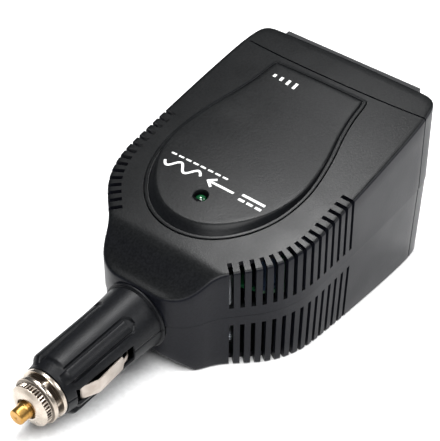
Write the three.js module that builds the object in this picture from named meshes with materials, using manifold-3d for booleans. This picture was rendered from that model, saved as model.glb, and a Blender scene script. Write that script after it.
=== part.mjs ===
// Direct-plug power inverter: wedge-shaped vented casing on a vehicle power-socket plug.
// Millimetres. X runs along the plug towards its tip, Y across, Z up.
// Built with x = 0 at the root of the plug and z = 0 on the plug axis, then moved to the row frame.
import * as THREE from 'three';
import { mergeVertices } from 'three/addons/utils/BufferGeometryUtils.js';
import Module from 'manifold-3d';

const wasm = await Module();
wasm.setup();

// ---------------------------------------------------------------- driving dimensions
const GAP = 0.3;             // assembly gap between touching pieces
const PART_Z = 0.8;          // height of the seam between upper and lower mouldings
const WALL = 2.2;            // casing wall
const TOP_Z0 = 16.9;         // casing top above the plug axis at x = 0
const TOP_SLOPE = 0.14;      // rise of the top towards the rear
const CROWN = 1.0;           // how far the middle of the top stands above its edges
const BOT_Z0 = -20.2;        // casing bottom at x = 0
const BOT_SLOPE = 0.123;     // fall of the bottom towards the rear
const NOSE_DROP = 5.2;       // how far the top dips down to the nose
const NOSE_TO = -1.5, NOSE_FROM = -16.5;
const LOWER_LEAN = 1.3;      // inward lean of the lower walls over their height
const CAP_X = -105.8;        // front edge of the rear cover, at the middle
const CAP_BOW = 2.1;         // how far that edge curves back towards the sides
const REAR_X = -117.8;       // rear face of the rear cover
const SLOT_COUNT = 15, SLOT_PITCH = 3.62, SLOT_W = 1.5, SLOT_REACH = 4.7;
const SLOT_START = -63.4;    // x of the rearmost slot
const SLOT_TO_SEAM = 4.0;    // solid band between a slot and the seam
const COLLAR_R = 12.7, BARREL_R0 = 11.5, BARREL_R1 = 10.1, BARREL_END = 38.7;
const BORE_R = 5.0, STUB_R = 5.9, STUB_IN = 4.75, STUB_END = 49.0;
const PIN_R = 2.8, PIN_END = 56.6;
const HALF_OUTLINE = [        // half plan of the casing, nose to rear
  [0, 0], [0, 5], [-0.1, 9], [-1.0, 12.2], [-2.9, 15.6], [-5.4, 18.2], [-8.5, 20.2], [-11.8, 21.8], [-14.7, 23.7],
  [-17.2, 25.9], [-19.6, 28.2], [-22.1, 30.5], [-24.8, 32.8], [-27.7, 34.8], [-31, 36.6], [-34.4, 37.9], [-37.8, 38.9],
  [-41.4, 39.5], [-46, 39.8], [-55, 39.9], [-63.4, 39.9], [-75, 39.8], [-85, 39.65], [-96, 39.35], [-105, 38.9],
  [-110, 38.3], [-113.5, 37.6], [-115.7, 36.6], [-117.1, 35.0], [-117.7, 32.8], [REAR_X, 30], [REAR_X, 15], [REAR_X, 0]];
const HALF_PANEL = [          // half plan of the raised label panel
  [-20.9, 0], [-21.1, 3], [-21.9, 7], [-23.2, 10.5], [-25.2, 14], [-27.9, 17.3], [-31.2, 20.3], [-35.3, 23.1], [-40, 25.4],
  [-45, 27], [-51, 28], [-57, 28.3], [-63, 27.8], [-70, 26.6], [-77, 24.9], [-85, 22.6], [-93, 20.9], [-100, 20.1],
  [-102.8, 19.4], [-103.5, 17.5], [-103.6, 9], [-103.6, 0]];

// ---------------------------------------------------------------- helpers
const outward = (g) => {      // weld, and turn the faces outwards
  let q = g.index ? g.toNonIndexed() : g.clone();
  for (const n of Object.keys(q.attributes)) if (n !== 'position') q.deleteAttribute(n);
  q = mergeVertices(q, 1e-4);
  const p = q.attributes.position.array, src = q.index.array, ix = [];
  for (let i = 0; i < src.length; i += 3) {
    const [a, b, c] = [src[i], src[i + 1], src[i + 2]];
    if (a !== b && b !== c && a !== c) ix.push(a, b, c);
  }
  let v = 0;
  for (let i = 0; i < ix.length; i += 3) {
    const [a, b, c] = [ix[i] * 3, ix[i + 1] * 3, ix[i + 2] * 3];
    v += p[a] * (p[b + 1] * p[c + 2] - p[b + 2] * p[c + 1]) - p[a + 1] * (p[b] * p[c + 2] - p[b + 2] * p[c])
      + p[a + 2] * (p[b] * p[c + 1] - p[b + 1] * p[c]);
  }
  if (v < 0) for (let i = 0; i < ix.length; i += 3) [ix[i], ix[i + 1]] = [ix[i + 1], ix[i]];
  q.setIndex(ix);
  return q;
};
const solid = (g) => {
  const q = outward(g);
  return new wasm.Manifold(new wasm.Mesh({ numProp: 3, vertProperties: new Float32Array(q.attributes.position.array),
    triVerts: new Uint32Array(q.index.array) }));
};
const geo = (s) => {
  const m = s.getMesh(), g = new THREE.BufferGeometry(), n = m.numProp, k = m.vertProperties.length / n;
  const p = new Float32Array(k * 3);
  for (let i = 0; i < k; i++) for (let j = 0; j < 3; j++) p[i * 3 + j] = m.vertProperties[i * n + j];
  g.setAttribute('position', new THREE.BufferAttribute(p, 3));
  g.setIndex(Array.from(m.triVerts));
  return g;
};
const loft = (rings) => {     // closed body through rings with the same number of points
  const n = rings[0].length, pos = [], ix = [];
  for (const r of rings) for (const p of r) pos.push(...p);
  for (let k = 0; k + 1 < rings.length; k++) for (let i = 0; i < n; i++) {
    const j = (i + 1) % n, a = k * n + i, b = k * n + j, c = a + n, d = b + n;
    ix.push(a, b, d, a, d, c);
  }
  const cap = (r, base, flip) => {
    const t = THREE.ShapeUtils.triangulateShape(r.map((p) => new THREE.Vector2(p[0], p[1])), []);
    for (const [a, b, c] of t) flip ? ix.push(base + a, base + c, base + b) : ix.push(base + a, base + b, base + c);
  };
  cap(rings[0], 0, true);
  cap(rings[rings.length - 1], (rings.length - 1) * n, false);
  const g = new THREE.BufferGeometry();
  g.setAttribute('position', new THREE.Float32BufferAttribute(pos, 3));
  g.setIndex(ix);
  return g;
};
const mirrored = (half) => {  // closed anticlockwise plan from its right half
  const right = half.map((p) => [...p]);
  const left = half.slice(1, -1).reverse().map(([x, y]) => [x, -y]);
  return right.concat(left);
};
const smooth = (half, step) => {   // resampled half plan
  const c = new THREE.SplineCurve(half.map((p) => new THREE.Vector2(...p)));
  c.arcLengthDivisions = 800;
  const n = Math.round(c.getLength() / step), out = [];
  for (let i = 0; i <= n; i++) { const p = c.getPointAt(i / n); out.push([p.x, p.y]); }
  out[0][1] = 0; out[n][1] = 0;
  return out;
};
const inset = (ring, d) => ring.map((p, i) => {   // plan moved inwards by d (number or function of x)
  const n = ring.length, a = ring[(i + n - 1) % n], b = ring[(i + 1) % n];
  let tx = b[0] - a[0], ty = b[1] - a[1];
  const l = Math.hypot(tx, ty) || 1, k = typeof d === 'function' ? d(p[0]) : d;
  return [p[0] - (ty / l) * k, p[1] + (tx / l) * k];
});
const prism = (ring, z0, z1, top = ring) => loft([ring.map(([x, y]) => [x, y, z0]), top.map(([x, y]) => [x, y, z1])]);
const box = (x0, x1, y0, y1, z0, z1) => {
  const g = new THREE.BoxGeometry(x1 - x0, y1 - y0, z1 - z0);
  g.translate((x0 + x1) / 2, (y0 + y1) / 2, (z0 + z1) / 2);
  return g;
};
const latheX = (profile, seg = 36) => {    // [x, r] pairs turned about the plug axis
  const g = new THREE.LatheGeometry(profile.map(([x, r]) => new THREE.Vector2(Math.max(r, 0), x)), seg);
  g.rotateZ(-Math.PI / 2);
  return g;
};
const latheZ = (profile, x, y, seg = 24) => {   // [z, r] pairs turned about an upright axis
  const g = new THREE.LatheGeometry(profile.map(([z, r]) => new THREE.Vector2(Math.max(r, 0), z)), seg);
  g.rotateX(Math.PI / 2);
  g.translate(x, y, 0);
  return g;
};
const rodZ = (x, y, r, z0, z1, seg = 20) => latheZ([[z0, 0], [z0, r], [z1, r], [z1, 0]], x, y, seg);
const rodX = (x0, x1, y, z, r, seg = 24) => { const g = latheX([[x0, 0], [x0, r], [x1, r], [x1, 0]], seg); g.translate(0, y, z); return g; };
const field = (top, floor, xs, ys) => {    // closed body under a surface z = top(x, y)
  const pos = [], ix = [], nx = xs.length, ny = ys.length, id = (k, i, j) => k * nx * ny + i * ny + j;
  for (const k of [0, 1]) for (const x of xs) for (const y of ys) pos.push(x, y, k ? top(x, y) : floor);
  for (let i = 0; i + 1 < nx; i++) for (let j = 0; j + 1 < ny; j++) {
    const t = [id(1, i, j), id(1, i + 1, j), id(1, i + 1, j + 1), id(1, i, j + 1)];
    const b = [id(0, i, j), id(0, i + 1, j), id(0, i + 1, j + 1), id(0, i, j + 1)];
    ix.push(t[0], t[1], t[2], t[0], t[2], t[3], b[0], b[2], b[1], b[0], b[3], b[2]);
  }
  const wall = (a, b) => ix.push(id(0, ...a), id(0, ...b), id(1, ...b), id(0, ...a), id(1, ...b), id(1, ...a));
  for (let i = 0; i + 1 < nx; i++) { wall([i, 0], [i + 1, 0]); wall([i + 1, ny - 1], [i, ny - 1]); }
  for (let j = 0; j + 1 < ny; j++) { wall([nx - 1, j], [nx - 1, j + 1]); wall([0, j + 1], [0, j]); }
  const g = new THREE.BufferGeometry();
  g.setAttribute('position', new THREE.Float32BufferAttribute(pos, 3));
  g.setIndex(ix);
  return g;
};
const strip = (pts, t) => {    // flat strip outline of thickness t along [a, b] points
  const off = (s) => pts.map((p, i) => {
    const a = pts[Math.max(i - 1, 0)], b = pts[Math.min(i + 1, pts.length - 1)];
    const dx = b[0] - a[0], dy = b[1] - a[1], l = Math.hypot(dx, dy);
    return [p[0] - (dy / l) * s * t / 2, p[1] + (dx / l) * s * t / 2];
  });
  return off(1).concat(off(-1).reverse());
};
const cable = (pts, r, seg = 6, steps = 16) => {   // round lead along points
  const curve = new THREE.CatmullRomCurve3(pts.map((p) => new THREE.Vector3(...p)), false, 'centripetal');
  const s = new THREE.Shape();
  for (let i = 0; i < seg; i++) { const a = (i / seg) * 2 * Math.PI; i ? s.lineTo(r * Math.cos(a), r * Math.sin(a)) : s.moveTo(r, 0); }
  s.closePath();
  return new THREE.ExtrudeGeometry(s, { steps, extrudePath: curve, bevelEnabled: false, curveSegments: 1 });
};
const group = new THREE.Group();
const FINISH = {
  black: [0x17181a, 0.55, 0], gloss: [0x0e0f10, 0.3, 0], nickel: [0xd8d2c6, 0.25, 1], brass: [0xc79a3e, 0.3, 1],
  green: [0x1e7a46, 0.25, 0], board: [0x1d5a33, 0.5, 0], copper: [0xb4652c, 0.4, 1], ferrite: [0x3c3c3e, 0.7, 0],
  alu: [0xb9bcc0, 0.4, 1], glass: [0xe8efee, 0.05, 0], red: [0xb02020, 0.5, 0], blue: [0x2a4aa0, 0.5, 0],
  brown: [0x6b3f22, 0.5, 0], steel: [0x9a9da0, 0.35, 1], tape: [0xc9a227, 0.5, 0], can: [0x20325c, 0.35, 0], grey: [0x2c2e31, 0.5, 0]
};
const add = (name, g, finish) => {
  const [color, roughness, metalness] = FINISH[finish];
  const mesh = new THREE.Mesh(outward(g), new THREE.MeshStandardMaterial({ color, roughness, metalness }));
  mesh.name = name;
  group.add(mesh);
};

// ---------------------------------------------------------------- casing surfaces
const ease = (t) => { const u = Math.min(Math.max(t, 0), 1); return u * u * (3 - 2 * u); };
const topZ = (x, y) => TOP_Z0 - TOP_SLOPE * x + CROWN * (1 - (y / 40) ** 2)
  - NOSE_DROP * ease((x - NOSE_FROM) / (NOSE_TO - NOSE_FROM));
const botZ = (x) => Math.max(BOT_Z0 + BOT_SLOPE * x, -13.2 + 1.08 * x);
const XS = [-130, -105, -84, -63, -42, -28, -16.5, -14.5, -12.5, -10.5, -8.5, -6.5, -4.5, -2.5, 0, 6];
const YS = [-46, -36, -24, -12, 0, 12, 24, 36, 46];
const XS_IN = [-130, -105, -63, -28, -16.5, -12.5, -8.5, -4.5, 0, 6], YS_IN = [-46, -30, 0, 30, 46];
const XB = [-130, -8.22, 6], YB = [-46, 46];
const plan = mirrored(smooth(HALF_OUTLINE, 4.6));
const planIn = inset(plan, WALL);
const leanTo = inset(plan, LOWER_LEAN + 0.2), leanIn = inset(plan, WALL + LOWER_LEAN + 0.2);
const lowFrom = inset(plan, 0.2), lowInFrom = inset(plan, WALL + 0.2);
const below = (dz) => solid(field((x) => botZ(x) + dz, -80, XB, YB));   // everything under the bottom surface
const upperOuter = solid(prism(plan, PART_Z, 50)).intersect(solid(field(topZ, -10, XS, YS)));
const upperInner = solid(prism(planIn, PART_Z - 5, 50)).intersect(solid(field((x, y) => topZ(x, y) - WALL, -10, XS_IN, YS_IN)));
const lowerOuter = solid(loft([leanTo.map(([x, y]) => [x, y, -36]), lowFrom.map(([x, y]) => [x, y, PART_Z])])).subtract(below(0));
const lowerInner = solid(loft([leanIn.map(([x, y]) => [x, y, -36]), lowInFrom.map(([x, y]) => [x, y, PART_Z + 5])])).subtract(below(WALL));
const capLine = (dx) => {
  const r = [];
  for (let i = -8; i <= 8; i++) { const y = (i / 8) * 48; r.push([CAP_X + dx - CAP_BOW * Math.min(Math.abs(y) / 38.4, 1) ** 2.2, y]); }
  return r.concat([[-160, 48], [-160, -48]]);
};
const behind = (dx) => solid(prism(capLine(dx), -60, 60));

// vents: upright slots square to the outline
const arc = [];
{
  const dense = smooth(HALF_OUTLINE, 0.25);
  let start = dense.findIndex(([x]) => x < SLOT_START), run = 0, next = 0;
  for (let i = start; i > 1 && arc.length < SLOT_COUNT; i--) {
    if (run >= next) {
      const a = dense[i - 2], b = dense[i + 2], l = Math.hypot(b[0] - a[0], b[1] - a[1]);
      arc.push([dense[i][0], dense[i][1], (b[1] - a[1]) / l, -(b[0] - a[0]) / l]);
      next += SLOT_PITCH;
    }
    run += Math.hypot(dense[i][0] - dense[i - 1][0], dense[i][1] - dense[i - 1][1]);
  }
}
const slots = (z0, z1) => {
  let s = null;
  for (const [x, y, nx, ny] of arc) for (const side of [1, -1]) {
    const g = box(-SLOT_REACH, 3, -SLOT_W / 2, SLOT_W / 2, z0, z1);
    g.rotateZ(Math.atan2(ny * side, nx));
    g.translate(x, y * side, 0);
    s = s ? s.add(solid(g)) : solid(g);
  }
  return s;
};

// ---------------------------------------------------------------- fixing posts and screws
const POSTS = [[-27, 17], [-27, -17], [-97, 30], [-97, -30]];
const post = (x, y, r, z0, z1) => solid(rodZ(x, y, r, z0, z1));

// ---------------------------------------------------------------- upper shell
let upper = upperOuter.subtract(upperInner);
for (const [x, y] of POSTS) upper = upper.add(post(x, y, 3.4, PART_Z + 0.15, 30).intersect(upperOuter));
upper = upper.subtract(solid(box(-200, 50, -60, 60, -20, PART_Z + 0.15)));
for (const [x, y] of POSTS) upper = upper.subtract(post(x, y, 1.5, -10, 9));
upper = upper.subtract(slots(PART_Z + SLOT_TO_SEAM, 60)).subtract(behind(GAP / 2));
upper = upper.subtract(solid(rodX(-12, 8, 0, 0, BARREL_R0 + GAP, 48)));

// ---------------------------------------------------------------- label panel
const PANEL_Y = -1.8;         // the panel stands a little to the left of the plug's axis
const panelPlan = mirrored(smooth(HALF_PANEL, 3.4)).map(([x, y]) => [x, y + PANEL_Y]);
const seatZ = (x) => TOP_Z0 - TOP_SLOPE * x - 0.35;        // flat floor of the panel's seat in the shell
const lift = (x) => 2.5 - 1.6 * ease((-x - 25) / 70);      // height of the plateau above the rim's foot
const bevelRun = (x) => 3.9 - 2.2 * ease((-x - 22) / 34);   // plan distance from the rim to the plateau
const at = (ring, h) => ring.map(([x, y]) => [x, y, topZ(x, y) + (typeof h === 'function' ? h(x) : h)]);
const seat = inset(panelPlan, -GAP);
upper = upper.subtract(solid(loft([seat.map(([x, y]) => [x, y, seatZ(x)]), seat.map(([x, y]) => [x, y, 60])])));
const LED_X = -36.0;
upper = upper.subtract(post(LED_X, PANEL_Y, 2.4, 0, 60));
add('upper_shell', geo(upper), 'black');
{
  const rims = [panelPlan.map(([x, y]) => [x, y, seatZ(x) + GAP]), at(panelPlan, 0.45), at(inset(panelPlan, 0.9), 0.45), at(inset(panelPlan, 1.05), 0.12),
    at(inset(panelPlan, 1.3), 0.12), at(inset(panelPlan, bevelRun), lift)];
  const body = solid(loft(rims)).subtract(post(LED_X, PANEL_Y, 2.5, 0, 60));
  add('label_panel', geo(body), 'black');
}
const LED_TOP = topZ(LED_X, PANEL_Y) + lift(LED_X);
add('led_lens', latheZ([[LED_TOP - 7, 0], [LED_TOP - 7, 2.0], [LED_TOP - 2.4, 2.0], [LED_TOP - 1.3, 1.75], [LED_TOP - 0.7, 1.15], [LED_TOP - 0.45, 0]], LED_X, PANEL_Y), 'green');
add('led_spacer', rodZ(LED_X, PANEL_Y, 1.7, -2.1, LED_TOP - 7 - GAP), 'grey');

// ---------------------------------------------------------------- lower shell
let lower = lowerOuter.subtract(lowerInner);
for (const [x, y] of POSTS) lower = lower.add(post(x, y, 4.0, -40, PART_Z - 0.5).intersect(lowerOuter));
lower = lower.subtract(solid(box(-200, 50, -60, 60, PART_Z - 0.15, 30)));
for (const [x, y] of POSTS) lower = lower.subtract(post(x, y, 1.75, -60, 10)).subtract(post(x, y, 3.2, -60, botZ(x) + 3.6));
lower = lower.subtract(slots(-60, PART_Z - SLOT_TO_SEAM)).subtract(behind(GAP / 2));
lower = lower.subtract(solid(rodX(-12, 8, 0, 0, BARREL_R0 + GAP, 48)));
add('lower_shell', geo(lower), 'black');
POSTS.forEach(([x, y], i) => {
  const h = botZ(x) + 1.4, g = latheZ([[h, 0], [h, 2.3], [h + 0.5, 2.8], [h + 1.9, 2.8], [h + 1.9, 1.3], [8.4, 1.3], [8.4, 0]], x, y, 12);
  add(`casing_screw_${i + 1}`, geo(solid(g).subtract(solid(box(x - 2, x + 2, y - 0.4, y + 0.4, h - 1, h + 0.9)))
    .subtract(solid(box(x - 0.4, x + 0.4, y - 2, y + 2, h - 1, h + 0.9)))), 'steel');
});

// ---------------------------------------------------------------- rear cover, outlet block
const FACE_Y = 28.3, FACE_TOP = 32.7, FACE_BOT = -28.4, FACE_X = -120.6;   // outlet block outside the cover
const BODY_Y = 25.9, BODY_TOP = 29.5, BODY_BOT = -26.0;                      // and inside it
const behindCap = behind(-GAP / 2);
let cap = upperOuter.add(solid(prism(lowFrom, PART_Z - 1, PART_Z + 0.5))).add(lowerOuter).intersect(behindCap);
cap = cap.subtract(upperInner.add(lowerInner).add(solid(prism(lowInFrom, -4, 4))));
cap = cap.subtract(solid(box(-130, -112, -BODY_Y - GAP, BODY_Y + GAP, BODY_BOT - GAP, BODY_TOP + GAP)));
add('rear_cover', geo(cap), 'black');
const OUT_Y = -9, HOLE_DZ = 6.6;
{
  let f = solid(box(FACE_X, REAR_X - GAP, -FACE_Y, FACE_Y, FACE_BOT, FACE_TOP)).add(solid(box(-118.5, -109.5, -BODY_Y, BODY_Y, BODY_BOT, BODY_TOP)));
  f = f.subtract(solid(box(-118.0, -109, -BODY_Y + 1.8, BODY_Y - 1.8, BODY_BOT + 1.8, BODY_TOP - 1.8)));
  // socket body behind the face, with the three contact wells
  f = f.add(solid(box(-118.5, -110, OUT_Y - 14.5, OUT_Y + 14.5, -16, 16)));
  f = f.subtract(solid(rodX(-122, FACE_X + 1.0, OUT_Y, 0, 15.5, 40)));
  for (const [dy, dz, sy, sz] of [[-7, 4, 5.2, 10], [7, 4, 5.2, 10], [0, -8.2, 6.0, 7.2]])
    f = f.subtract(solid(box(-123, -108, OUT_Y + dy - sy / 2, OUT_Y + dy + sy / 2, dz - sz / 2, dz + sz / 2)));
  f = f.subtract(solid(box(-123, -109, 12.2, 23.8, -9.2, 9.2)));
  add('outlet_block', geo(f), 'grey');
}
const fork = (y, z, sy) => {
  const s = solid(box(-109.4, -108.6, y - sy / 2, y + sy / 2, z - 2.2, z + 2.2))
    .add(solid(box(-114.5, -108.8, y - sy / 2, y - sy / 2 + 0.6, z - 2.2, z + 2.2)))
    .add(solid(box(-114.5, -108.8, y + sy / 2 - 0.6, y + sy / 2, z - 2.2, z + 2.2)))
    .add(solid(rodX(-108.8, -105.5, y, z, 0.9, 12)));
  return geo(s);
};
add('contact_live', fork(OUT_Y - 7, 4, 4.4), 'brass');
add('contact_neutral', fork(OUT_Y + 7, 4, 4.4), 'brass');
add('contact_earth', fork(OUT_Y, -8.2, 5.2), 'brass');

// rocker switch
const SW_Y = 18, SW_TILT = 11;
{
  let h = solid(box(-121.3, -120.9, 11.2, 24.8, -10.2, 10.2)).add(solid(box(-121, -108.5, 12.5, 23.5, -8.9, 8.9)));
  h = h.subtract(solid(box(-125, -110, 13.5, 22.5, -7.9, 7.9)));
  h = h.add(solid(rodX(-109, -104.5, SW_Y, 5, 0.8, 12))).add(solid(rodX(-109, -104.5, SW_Y, -5, 0.8, 12)));
  add('switch_housing', geo(h), 'gloss');
  const prof = [[0.8, -7.2], [-3.0, -7.2], [-1.9, 0], [-3.0, 7.2], [0.8, 7.2], [3.2, 2.5], [3.2, -2.5]];   // x from pivot, z
  const s = new THREE.Shape(prof.map(([x, z]) => new THREE.Vector2(x, z)));
  const g = new THREE.ExtrudeGeometry(s, { depth: 8.2, bevelEnabled: false });
  g.rotateX(Math.PI / 2);          // shape y becomes z, depth runs along -y
  g.translate(0, 4.1, 0);
  g.rotateY(SW_TILT * Math.PI / 180);
  g.translate(-119.2, SW_Y, 0);
  add('switch_rocker', g, 'red');
}

// ---------------------------------------------------------------- board and electronics
const BOARD_Z = -4.0, BOARD_T = 1.6, DECK = BOARD_Z + BOARD_T + GAP;
{
  const ring = mirrored([[-20, 0], [-20, 12], [-32.5, 12], [-36, 24], [-42, 30.5], [-55, 33.5], [-88, 33.5], [-91.8, 25], [-103, 24.5], [-103, 0]]);
  const b = solid(prism(ring, BOARD_Z, BOARD_Z + BOARD_T));
  add('circuit_board', geo(b), 'board');
}
{ // transformer: E-core with the winding round its middle leg
  const z = DECK, c = solid(box(-70, -42, -15, 15, z, z + 19)).subtract(solid(box(-65, -47, -10.5, 10.5, z - 1, z + 20)))
    .add(solid(box(-60, -52, -11, 11, z, z + 19)));
  add('transformer_core', geo(c), 'ferrite');
  const w = solid(box(-64.6, -47.4, -9.9, 9.9, z + 0.6, z + 18.4)).subtract(solid(box(-60.4, -51.6, -12, 12, z - 2, z + 22)));
  const parts = w.decompose ? w.decompose() : [w];
  add('winding_rear', geo(parts.find((p) => p.boundingBox().min[0] < -62)), 'tape');
  add('winding_front', geo(parts.find((p) => p.boundingBox().max[0] > -50)), 'tape');
}
const can = (name, x, y, r, h) => add(name, latheZ([[DECK, 0], [DECK, r], [DECK + 1.4, r], [DECK + 1.9, r - 0.4], [DECK + 2.4, r], [DECK + h - 0.5, r], [DECK + h, r - 0.5], [DECK + h, 0]], x, y, 20), 'can');
can('input_capacitor_1', -29, 6, 5, 14);
can('input_capacitor_2', -40, 22, 5, 14);
can('bus_capacitor', -84, -10, 8, 24);
for (const [tag, s] of [['right', 1], ['left', -1]]) {
  let h = solid(box(-88, -48, s > 0 ? 28 : -30, s > 0 ? 30 : -28, DECK, DECK + 20));
  for (let i = 0; i < 6; i++) h = h.add(solid(box(-86 + i * 7, -84.6 + i * 7, s > 0 ? 29.5 : -33, s > 0 ? 33 : -29.5, DECK, DECK + 20)));
  add(`heat_sink_${tag}`, geo(h), 'alu');
  for (const [k, x] of [[1, -80], [2, -58]]) {
    const y0 = s > 0 ? 23.1 : -27.7;
    add(`mosfet_${tag}_${k}`, geo(solid(box(x - 5, x + 5, y0, y0 + 4.6, DECK + 3, DECK + 14)).add(solid(box(x - 4, x + 4, y0 + 1.8, y0 + 2.8, DECK, DECK + 3.5)))), 'gloss');
  }
}
{
  const t = new THREE.TorusGeometry(6, 2.8, 8, 16);
  t.translate(-83, 12, DECK + 2.8);
  add('output_choke', t, 'copper');
}
add('control_chip', box(-41, -35, -17.5, -4.5, DECK, DECK + 3), 'gloss');
add('buzzer', latheZ([[DECK, 0], [DECK, 5.5], [DECK + 6.5, 5.5], [DECK + 6.5, 1.2], [DECK + 4, 1.2], [DECK + 4, 0]], -97, 14, 20), 'gloss');

// ---------------------------------------------------------------- plug
const plugBody = () => {
  let b = solid(latheX([[-7.4, BORE_R], [-7.4, 12.9], [-5.2, 12.9], [-5.2, BARREL_R0], [GAP, BARREL_R0], [GAP, COLLAR_R], [1.5, COLLAR_R], [2.1, COLLAR_R - 0.6],
    [2.1, BARREL_R0], [9, 11.1], [BARREL_END - 0.7, BARREL_R1], [BARREL_END, BARREL_R1 - 0.6], [42.6, 8.9], [42.6, STUB_R], [STUB_END, STUB_R], [STUB_END, STUB_IN], [40, STUB_IN], [40, BORE_R], [-7.4, BORE_R]], 48));
  b = b.subtract(solid(box(-8, -5.1, -20, 20, 9.0, 20))).subtract(solid(box(-8, -5.1, -20, 20, -20, -9.0)));
  for (const a of [51, 129, 231, 309]) {
    const r = a * Math.PI / 180;
    let rib = solid(box(10.4, 41.8, -2.7, 2.7, 8.6, 11.25)).intersect(solid(rodX(5, 45, 0, 0, 11.35, 48)))
      .subtract(solid((() => { const g = box(-3, 3, -4, 4, -2, 2); g.rotateY(-0.6); g.translate(43.6, 0, 11.6); return g; })()));
    const pocketR = solid(box(9.3, 37.6, -3.5, 3.5, 10.55, 13)).add(solid(rodZ(9.3, 0, 3.5, 10.55, 13, 20)));
    const turn = (s) => s.rotate([a - 90, 0, 0]);
    b = b.subtract(turn(pocketR)).add(turn(rib));
  }
  return b.subtract(solid(box(13.6, 39.0, -16, 16, -3.2, 3.2)));
};
const plugSolid = plugBody();
add('plug_shell_upper', geo(plugSolid.subtract(solid(box(-20, 70, -20, 20, -20, PART_Z + 0.12)))), 'gloss');
add('plug_shell_lower', geo(plugSolid.subtract(solid(box(-20, 70, -20, 20, PART_Z - 0.12, 20)))), 'gloss');
for (const [tag, s] of [['right', 1], ['left', -1]]) {
  const line = [[14.6, 8.6], [16.2, 9.9], [19.2, 10.6], [25, 11.1], [30.6, 11.45], [31.6, 11.2], [36.0, 9.2], [36.8, 8.4]];
  const sh = new THREE.Shape(strip(line, 0.5).map(([x, y]) => new THREE.Vector2(x, y)));
  const full = new THREE.ExtrudeGeometry(sh, { depth: 5.6, bevelEnabled: false });
  full.translate(0, 0, -2.8);
  const neck = solid(box(13, 19.6, 5, 14, 1.6, 4)).add(solid(box(13, 19.6, 5, 14, -4, -1.6)));
  let g = geo(solid(full).subtract(neck));
  if (s < 0) g.rotateX(Math.PI);
  add(`side_contact_${tag}`, g, 'nickel');
}
{ // ferrule: round flange and hexagonal collar behind the screw cap
  const hex = new THREE.CylinderGeometry(7.9, 7.9, 1.9, 6); hex.rotateZ(Math.PI / 2); hex.translate(45.05, 0, 0);
  const f = solid(latheX([[42.9, STUB_R + GAP], [42.9, 8.4], [43.2, 8.75], [44.0, 8.75], [44.3, 8.4], [44.3, STUB_R + GAP], [42.9, STUB_R + GAP]])).add(
    solid(hex).subtract(solid(rodX(40, 50, 0, 0, STUB_R + GAP, 48))));
  add('ferrule_ring', geo(f), 'nickel');
}
{ // screw cap: flange, knurled band, domed face
  let c = solid(latheX([[46.3, STUB_R + GAP], [46.3, 8.1], [46.6, 8.45], [47.7, 8.45], [48.0, 8.1], [48.2, 7.2], [48.6, 7.45], [50.3, 7.45], [50.7, 7.1], [51.4, 6.0], [51.9, 4.6], [52.0, 3.7], [50.6, 3.7], [50.6, STUB_R + GAP], [46.3, STUB_R + GAP]], 48));
  for (let i = 0; i < 18; i++) { const g = box(48.45, 50.45, -0.35, 0.35, 7.15, 8); g.rotateX((i / 18) * 2 * Math.PI + 0.06); c = c.subtract(solid(g)); }
  add('screw_cap', geo(c), 'nickel');
}
add('cap_insulator', latheX([[49.4, 3.3], [49.4, STUB_R - 0.1], [50.3, STUB_R - 0.1], [50.3, 3.3], [49.4, 3.3]], 24), 'grey');
add('tip_pin', latheX([[44.8, 0], [44.8, 1.4], [47.9, 1.4], [47.9, 4.3], [49.1, 4.3], [49.1, PIN_R + 0.15], [53.0, PIN_R + 0.15], [53.4, PIN_R - 0.2], [55.9, PIN_R - 0.2], [56.4, 2.2], [PIN_END, 1.7], [PIN_END, 0]], 24), 'brass');
{
  const pts = [], turns = 4.5, x0 = 40.2, x1 = 47.4;
  for (let i = 0; i <= 54; i++) { const u = i / 54, a = u * turns * 2 * Math.PI; pts.push([x0 + (x1 - x0) * u, 3.3 * Math.cos(a), 3.3 * Math.sin(a)]); }
  add('tip_spring', cable(pts, 0.35, 5, 60), 'steel');
}
add('fuse_tube', latheX([[13.2, 2.2], [13.2, 2.75], [38.0, 2.75], [38.0, 2.2], [13.2, 2.2]], 24), 'glass');
add('fuse_wire', rodX(13.1, 38.1, 0, 0, 0.25, 8), 'copper');
add('fuse_cap_front', latheX([[33.5, 3.05], [33.5, 3.35], [39.6, 3.35], [39.6, 0], [38.4, 0], [38.4, 3.05], [33.5, 3.05]], 24), 'nickel');
add('fuse_cap_rear', latheX([[17.5, 3.05], [17.5, 3.35], [11.6, 3.35], [11.6, 0], [12.8, 0], [12.8, 3.05], [17.5, 3.05]], 24), 'nickel');
add('fuse_contact', geo(solid(rodX(10.2, 11.3, 0, 0, 2.6)).add(solid(rodX(7.6, 10.4, 0, 0, 1.2, 12)))), 'brass');
add('dc_lead_red', cable([[7.2, 0, 0.0], [2, 0, 0.4], [-6, 0.5, 1.2], [-13, 1.5, 2.2], [-18, -3.5, 2.0], [-21.4, -4.5, 0.6], [-22.6, -4.5, DECK + 0.4]], 1.1), 'red');
add('dc_lead_black', cable([[16.2, 7.4, -1.3], [16.0, 5.6, -1.5], [15.2, 4.3, -1.6], [13.4, 3.8, -1.6], [11.5, 3.7, -1.6], [8, 3.7, -1.6], [2, 3.5, -1.7], [-6, 3.2, -1.8], [-13, 3.6, -2.0], [-19.4, 3.6, -3.0]], 0.6, 6, 24), 'gloss');
add('ac_lead_brown', cable([[-105.1, OUT_Y - 7, 4], [-103.5, OUT_Y - 7, 4.2], [-101.0, OUT_Y - 7, 3], [-99.6, OUT_Y - 7, 0.8], [-99.4, OUT_Y - 7, DECK + 0.4]], 0.9), 'brown');
add('ac_lead_blue', cable([[-105.1, OUT_Y + 7, 4], [-103.5, OUT_Y + 7, 4.2], [-101.0, OUT_Y + 7, 3], [-99.6, OUT_Y + 7, 0.8], [-99.4, OUT_Y + 7, DECK + 0.4]], 0.9), 'blue');

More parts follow.
